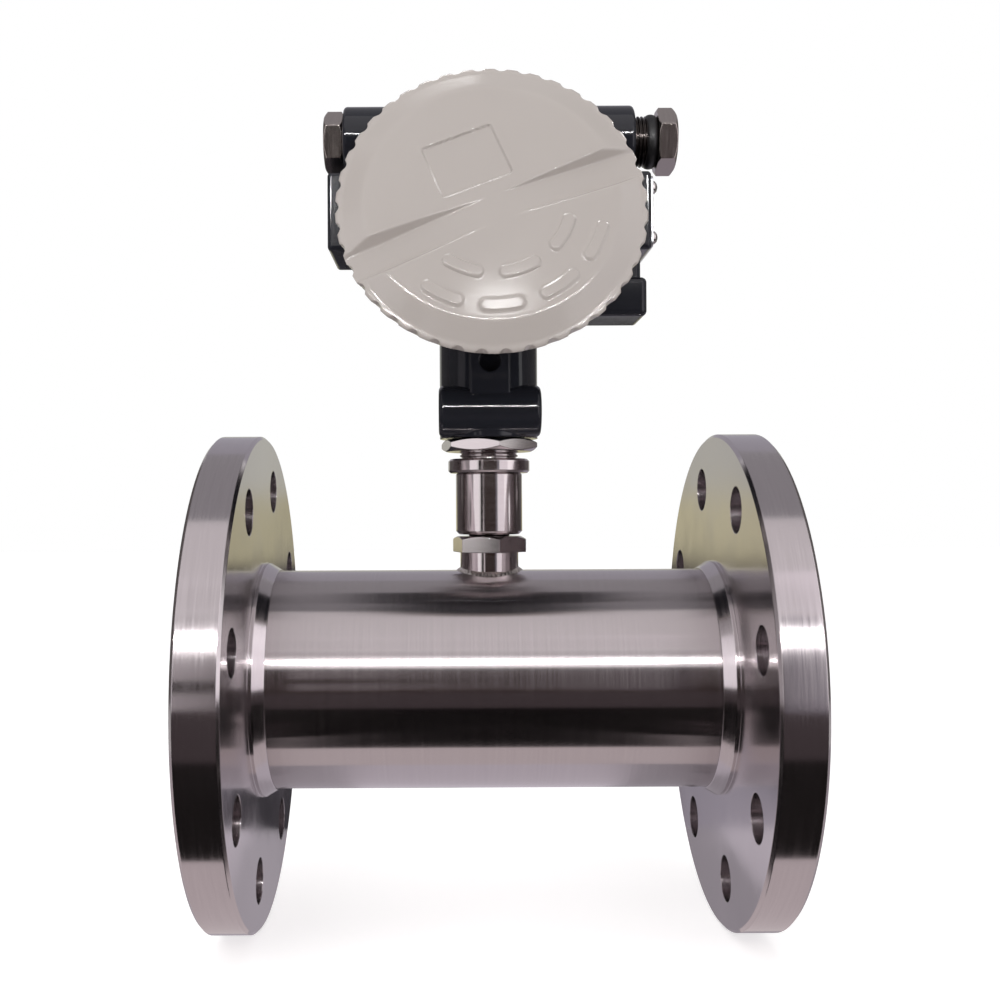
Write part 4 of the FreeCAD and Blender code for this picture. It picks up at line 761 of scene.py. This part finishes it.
# %% Upright cards: name, one end and the other (x, y), bottom and top in metres, colour, strength
walls = (
    ("lamp_tube", (-0.62, -1.2), (0.85, -1.2), 0.526, 0.534, "#ffffff", 330.0),
    ("lamp_strip", (-1.8, -1.2), (2.0, -1.2), 0.872, 0.882, "#ffffff", 1.0),
    ("lamp_housing", (-1.8, -1.21), (2.0, -1.21), 0.395, 0.526, "#fff8f8", 0.72),
    ("front_wall_near", (-2.4, -1.22), (2.6, -1.22), 0.526, 0.80, "#fffafc", 0.62),
    ("front_wall_upper", (-2.4, -1.5), (2.6, -1.5), 0.80, 1.60, "#fffafc", 0.76),
    ("room_dark", (-0.22, -1.25), (0.62, -1.25), -0.20, 0.395, "#3a302e", 0.3),
    ("camera_side_dark", (-0.055, -0.5), (0.305, -0.5), -0.06, 0.135, "#4a3834", 0.45),
    ("screen_left", (-0.08, -0.5), (0.055, -0.5), 0.306, 0.337, "#fffafc", 0.62),
    ("screen_right", (0.205, -0.5), (0.285, -0.5), 0.306, 0.337, "#fffafc", 0.62),
    ("front_left_low", (-0.40, -1.2), (-0.24, -1.2), -0.20, 0.05, "#fff6fa", 0.9),
    ("front_left_high", (-0.40, -1.2), (-0.24, -1.2), 0.15, 0.395, "#fff6fa", 0.9),
    ("front_left_dark", (-0.62, -1.23), (-0.22, -1.23), -0.20, 0.395, "#453b3b", 0.3),
    ("soft_box_left", (-0.235, -0.5), (-0.50, -0.40), -0.05, 0.60, "#fffafe", 1.25),
    ("side_left_front", (-0.50, -0.40), (-0.80, -0.22), -0.09, 1.2, "#efe6ea", 0.42),
    ("side_left", (-0.80, -0.22), (-0.80, 1.5), -0.09, 1.2, "#efe6e4", 0.14),
    ("front_right_near", (0.305, -0.5), (0.37, -0.5), -0.05, 0.30, "#efe8fa", 0.24),
    ("front_right", (0.39, -0.5), (0.62, -0.40), -0.05, 0.60, "#fff8fe", 1.15),
    ("soft_box_right", (0.62, -0.40), (0.86, -0.22), -0.05, 0.80, "#fffafe", 1.5),
    ("side_right", (0.95, -0.10), (0.95, 1.5), -0.09, 1.2, "#efe6e4", 0.16),
    ("back_wall_low_left", (-0.8, 1.5), (0.10, 1.5), -0.03, 0.09, "#f3ecc6", 0.68),
    ("back_wall_low_right", (0.10, 1.5), (0.95, 1.5), -0.03, 0.09, "#f3ecc6", 0.54),
    ("back_wall", (-0.8, 1.5), (0.95, 1.5), 0.09, 0.45, "#efefe6", 0.62),
    ("back_wall_high", (-0.8, 1.5), (0.95, 1.5), 0.45, 1.7, "#f2eefa", 0.46),
    ("back_gap", (-0.8, 1.45), (0.95, 1.45), -0.08, -0.025, "#b8b0b0", 0.10),
    ("back_edge", (-0.8, 1.44), (0.95, 1.44), -0.10, -0.08, "#ffffff", 0.2),
)
print("upright cards:", len(walls))

# %% Level cards: name, one corner and the opposite (x, y), level in metres, colour, strength
tables = (
    ("ceiling", (-2.4, -1.6), (2.6, -0.30), 1.60, "#fffafc", 0.80),
    ("ceiling_back", (-2.4, -0.30), (2.6, 1.6), 1.70, "#f4f0f6", 0.38),
    ("table_under", (-0.3, -0.40), (0.55, 0.13), -0.0990, "#fff2f4", 0.62),
    ("table_under_left", (-0.3, -0.03), (0.05, 0.13), -0.0988, "#f4ecf6", 0.46),
    ("table_under_back", (0.05, -0.03), (0.175, 0.13), -0.0988, "#f4ecf6", 0.68),
    ("table_under_right", (0.175, -0.03), (0.55, 0.13), -0.0988, "#f4ecf6", 0.38),
    ("table_near", (0.02, -0.26), (0.205, -0.070), -0.0984, "#191716", 0.2),
    ("table_near_left", (-1.6, -0.26), (0.02, -0.099), -0.0985, "#191716", 0.8),
    ("table_near_right", (0.205, -0.26), (1.8, -0.099), -0.0985, "#191716", 0.8),
    ("table_far", (-1.6, -1.30), (1.8, -0.26), -0.0985, "#4a4244", 0.9),
    ("table_back_left", (-0.8, 0.13), (0.10, 1.43), -0.0985, "#f2eafa", 0.05),
    ("table_back_right", (0.10, 0.13), (0.95, 1.43), -0.0985, "#f2eafa", 0.40),
)
print("level cards:", len(tables))

# %% [markdown]
# ### Lights that reach only one piece
# The painted cover shows a soft glow low on its face and two thin lines of light on its bevelled edge.
# Cards that are bright enough for that would also draw lines on the tube. Moving them far off would lose
# the glow, so Blender's light linking is used: it lets a card light the cover and nothing else. For the
# cover to mirror the walls behind these cards too, they add their light to what is seen through them. The
# other way round, the black casting is left out of the light of the two soft boxes at the sides, which
# would turn its round neck grey.

# %% Lights for the cover: name, corner, both sides in metres, strength
cover_lights = (
    ("cover_glow", (0.12, -1.19, 0.830), (0.11, 0, 0), (0, 0, 0.085), 24.0),
    ("cover_edge_top", (-0.32, 0.08, 1.45), (0.40, 0, 0), (0, 0.28, 0), 16.0),
    ("cover_edge_right", (0.79, 0.06, 0.74), (0, 0.26, 0), (0, 0, 0.30), 16.0),
)
only_cover = bpy.data.collections.new("lit_by_cover_lights")
only_cover.objects.link(cover)
cards = []
for name, corner, side_a, side_b, strength in cover_lights:
    paint, _, paint_output = new_material(name + "_light")
    both = add_node(paint, "ShaderNodeAddShader", {
        0: add_node(paint, "ShaderNodeEmission", {"Strength": strength}).outputs["Emission"],
        1: add_node(paint, "ShaderNodeBsdfTransparent").outputs["BSDF"]})
    finish_material(paint, both.outputs["Shader"], paint_output)
    cards.append(flat_card(name, corner, side_a, side_b, paint))
    cards[-1].light_linking.receiver_collection = only_cover
print("lights for the cover:", len(cards))

# %% Making the cards, seen by glossy rays alone
for name, a, b, bottom, top, tint, strength in walls:
    paint = glow(name + "_light", tint, strength)
    cards.append(flat_card(name, (*a, bottom), (b[0] - a[0], b[1] - a[1], 0), (0, 0, top - bottom), paint))
for name, a, b, level, tint, strength in tables:
    paint = glow(name + "_light", tint, strength)
    cards.append(flat_card(name, (*a, level), (b[0] - a[0], 0, 0), (0, b[1] - a[1], 0), paint))
all_but_casting = bpy.data.collections.new("not_lit_by_boxes")
all_but_casting.objects.link(nodes["housing"])
all_but_casting.collection_objects[0].light_linking.link_state = "EXCLUDE"
for card in cards:
    card.visible_camera = False
    card.visible_diffuse = False
    card.visible_shadow = False
    card.visible_transmission = False
    if card.name in ("soft_box_left", "soft_box_right"):
        card.light_linking.receiver_collection = all_but_casting
print("cards:", len(cards))

# %% [markdown]
# ## World and lamps
# The photograph has a white background and hardly any shadow. One bright world could give both, but the
# pieces would look flat. So the world is white to the camera, in reflections and through glass, lights
# only half as brightly, and three large soft lamps from the left, the right and above add the shading. Their
# power is set so that a colour comes out about as it is written.

# %% World
ambient_strength = 0.50
world = bpy.data.worlds.new("white_studio")
bpy.context.scene.world = world
world.use_nodes = True
world.node_tree.nodes.clear()
rays = add_node(world, "ShaderNodeLightPath")
seen = add_node(world, "ShaderNodeMath", {
    0: rays.outputs["Is Camera Ray"], 1: rays.outputs["Is Glossy Ray"]}, operation="MAXIMUM")
seen = add_node(world, "ShaderNodeMath", {
    0: seen.outputs["Value"], 1: rays.outputs["Is Transmission Ray"]}, operation="MAXIMUM")
backdrop = add_node(world, "ShaderNodeBackground", {"Color": hex_colour("#ffffff"), "Strength": 1.0})
ambient = add_node(world, "ShaderNodeBackground", {
    "Color": hex_colour("#ffffff"), "Strength": ambient_strength})
mix = add_node(world, "ShaderNodeMixShader", {
    0: seen.outputs["Value"], 1: ambient.outputs["Background"], 2: backdrop.outputs["Background"]})
sky = add_node(world, "ShaderNodeOutputWorld")
world.node_tree.links.new(mix.outputs["Shader"], sky.inputs["Surface"])
print("world lights at", ambient_strength, "and shows at 1")


# %% Soft lamps
def soft_lamp(name, place, target, size, watts):
    """A square area lamp that looks at a point and isn't seen in reflections."""
    data = bpy.data.lights.new(name, "AREA")
    data.size = size
    data.energy = watts
    lamp = bpy.data.objects.new(name, data)
    lamp.location = place
    look = np.array(target) - np.array(place)
    lamp.rotation_euler = (math.atan2(math.hypot(look[0], look[1]), -look[2]), 0,
                           math.atan2(look[1], look[0]) - math.pi / 2)
    lamp.visible_glossy = False
    bpy.context.scene.collection.objects.link(lamp)
    print(name, "in watts:", watts)


middle_of_meter = (meter_middle * MM, 0.0, 0.06)
soft_lamp("key_lamp", (-0.5, -1.1, 1.1), middle_of_meter, 0.9, 7.0)
soft_lamp("fill_lamp", (0.9, -1.2, 0.6), middle_of_meter, 0.9, 2.8)
soft_lamp("top_lamp", (0.1, 0.1, 1.5), middle_of_meter, 1.2, 5.5)
bpy.context.scene.view_settings.view_transform = "Standard"
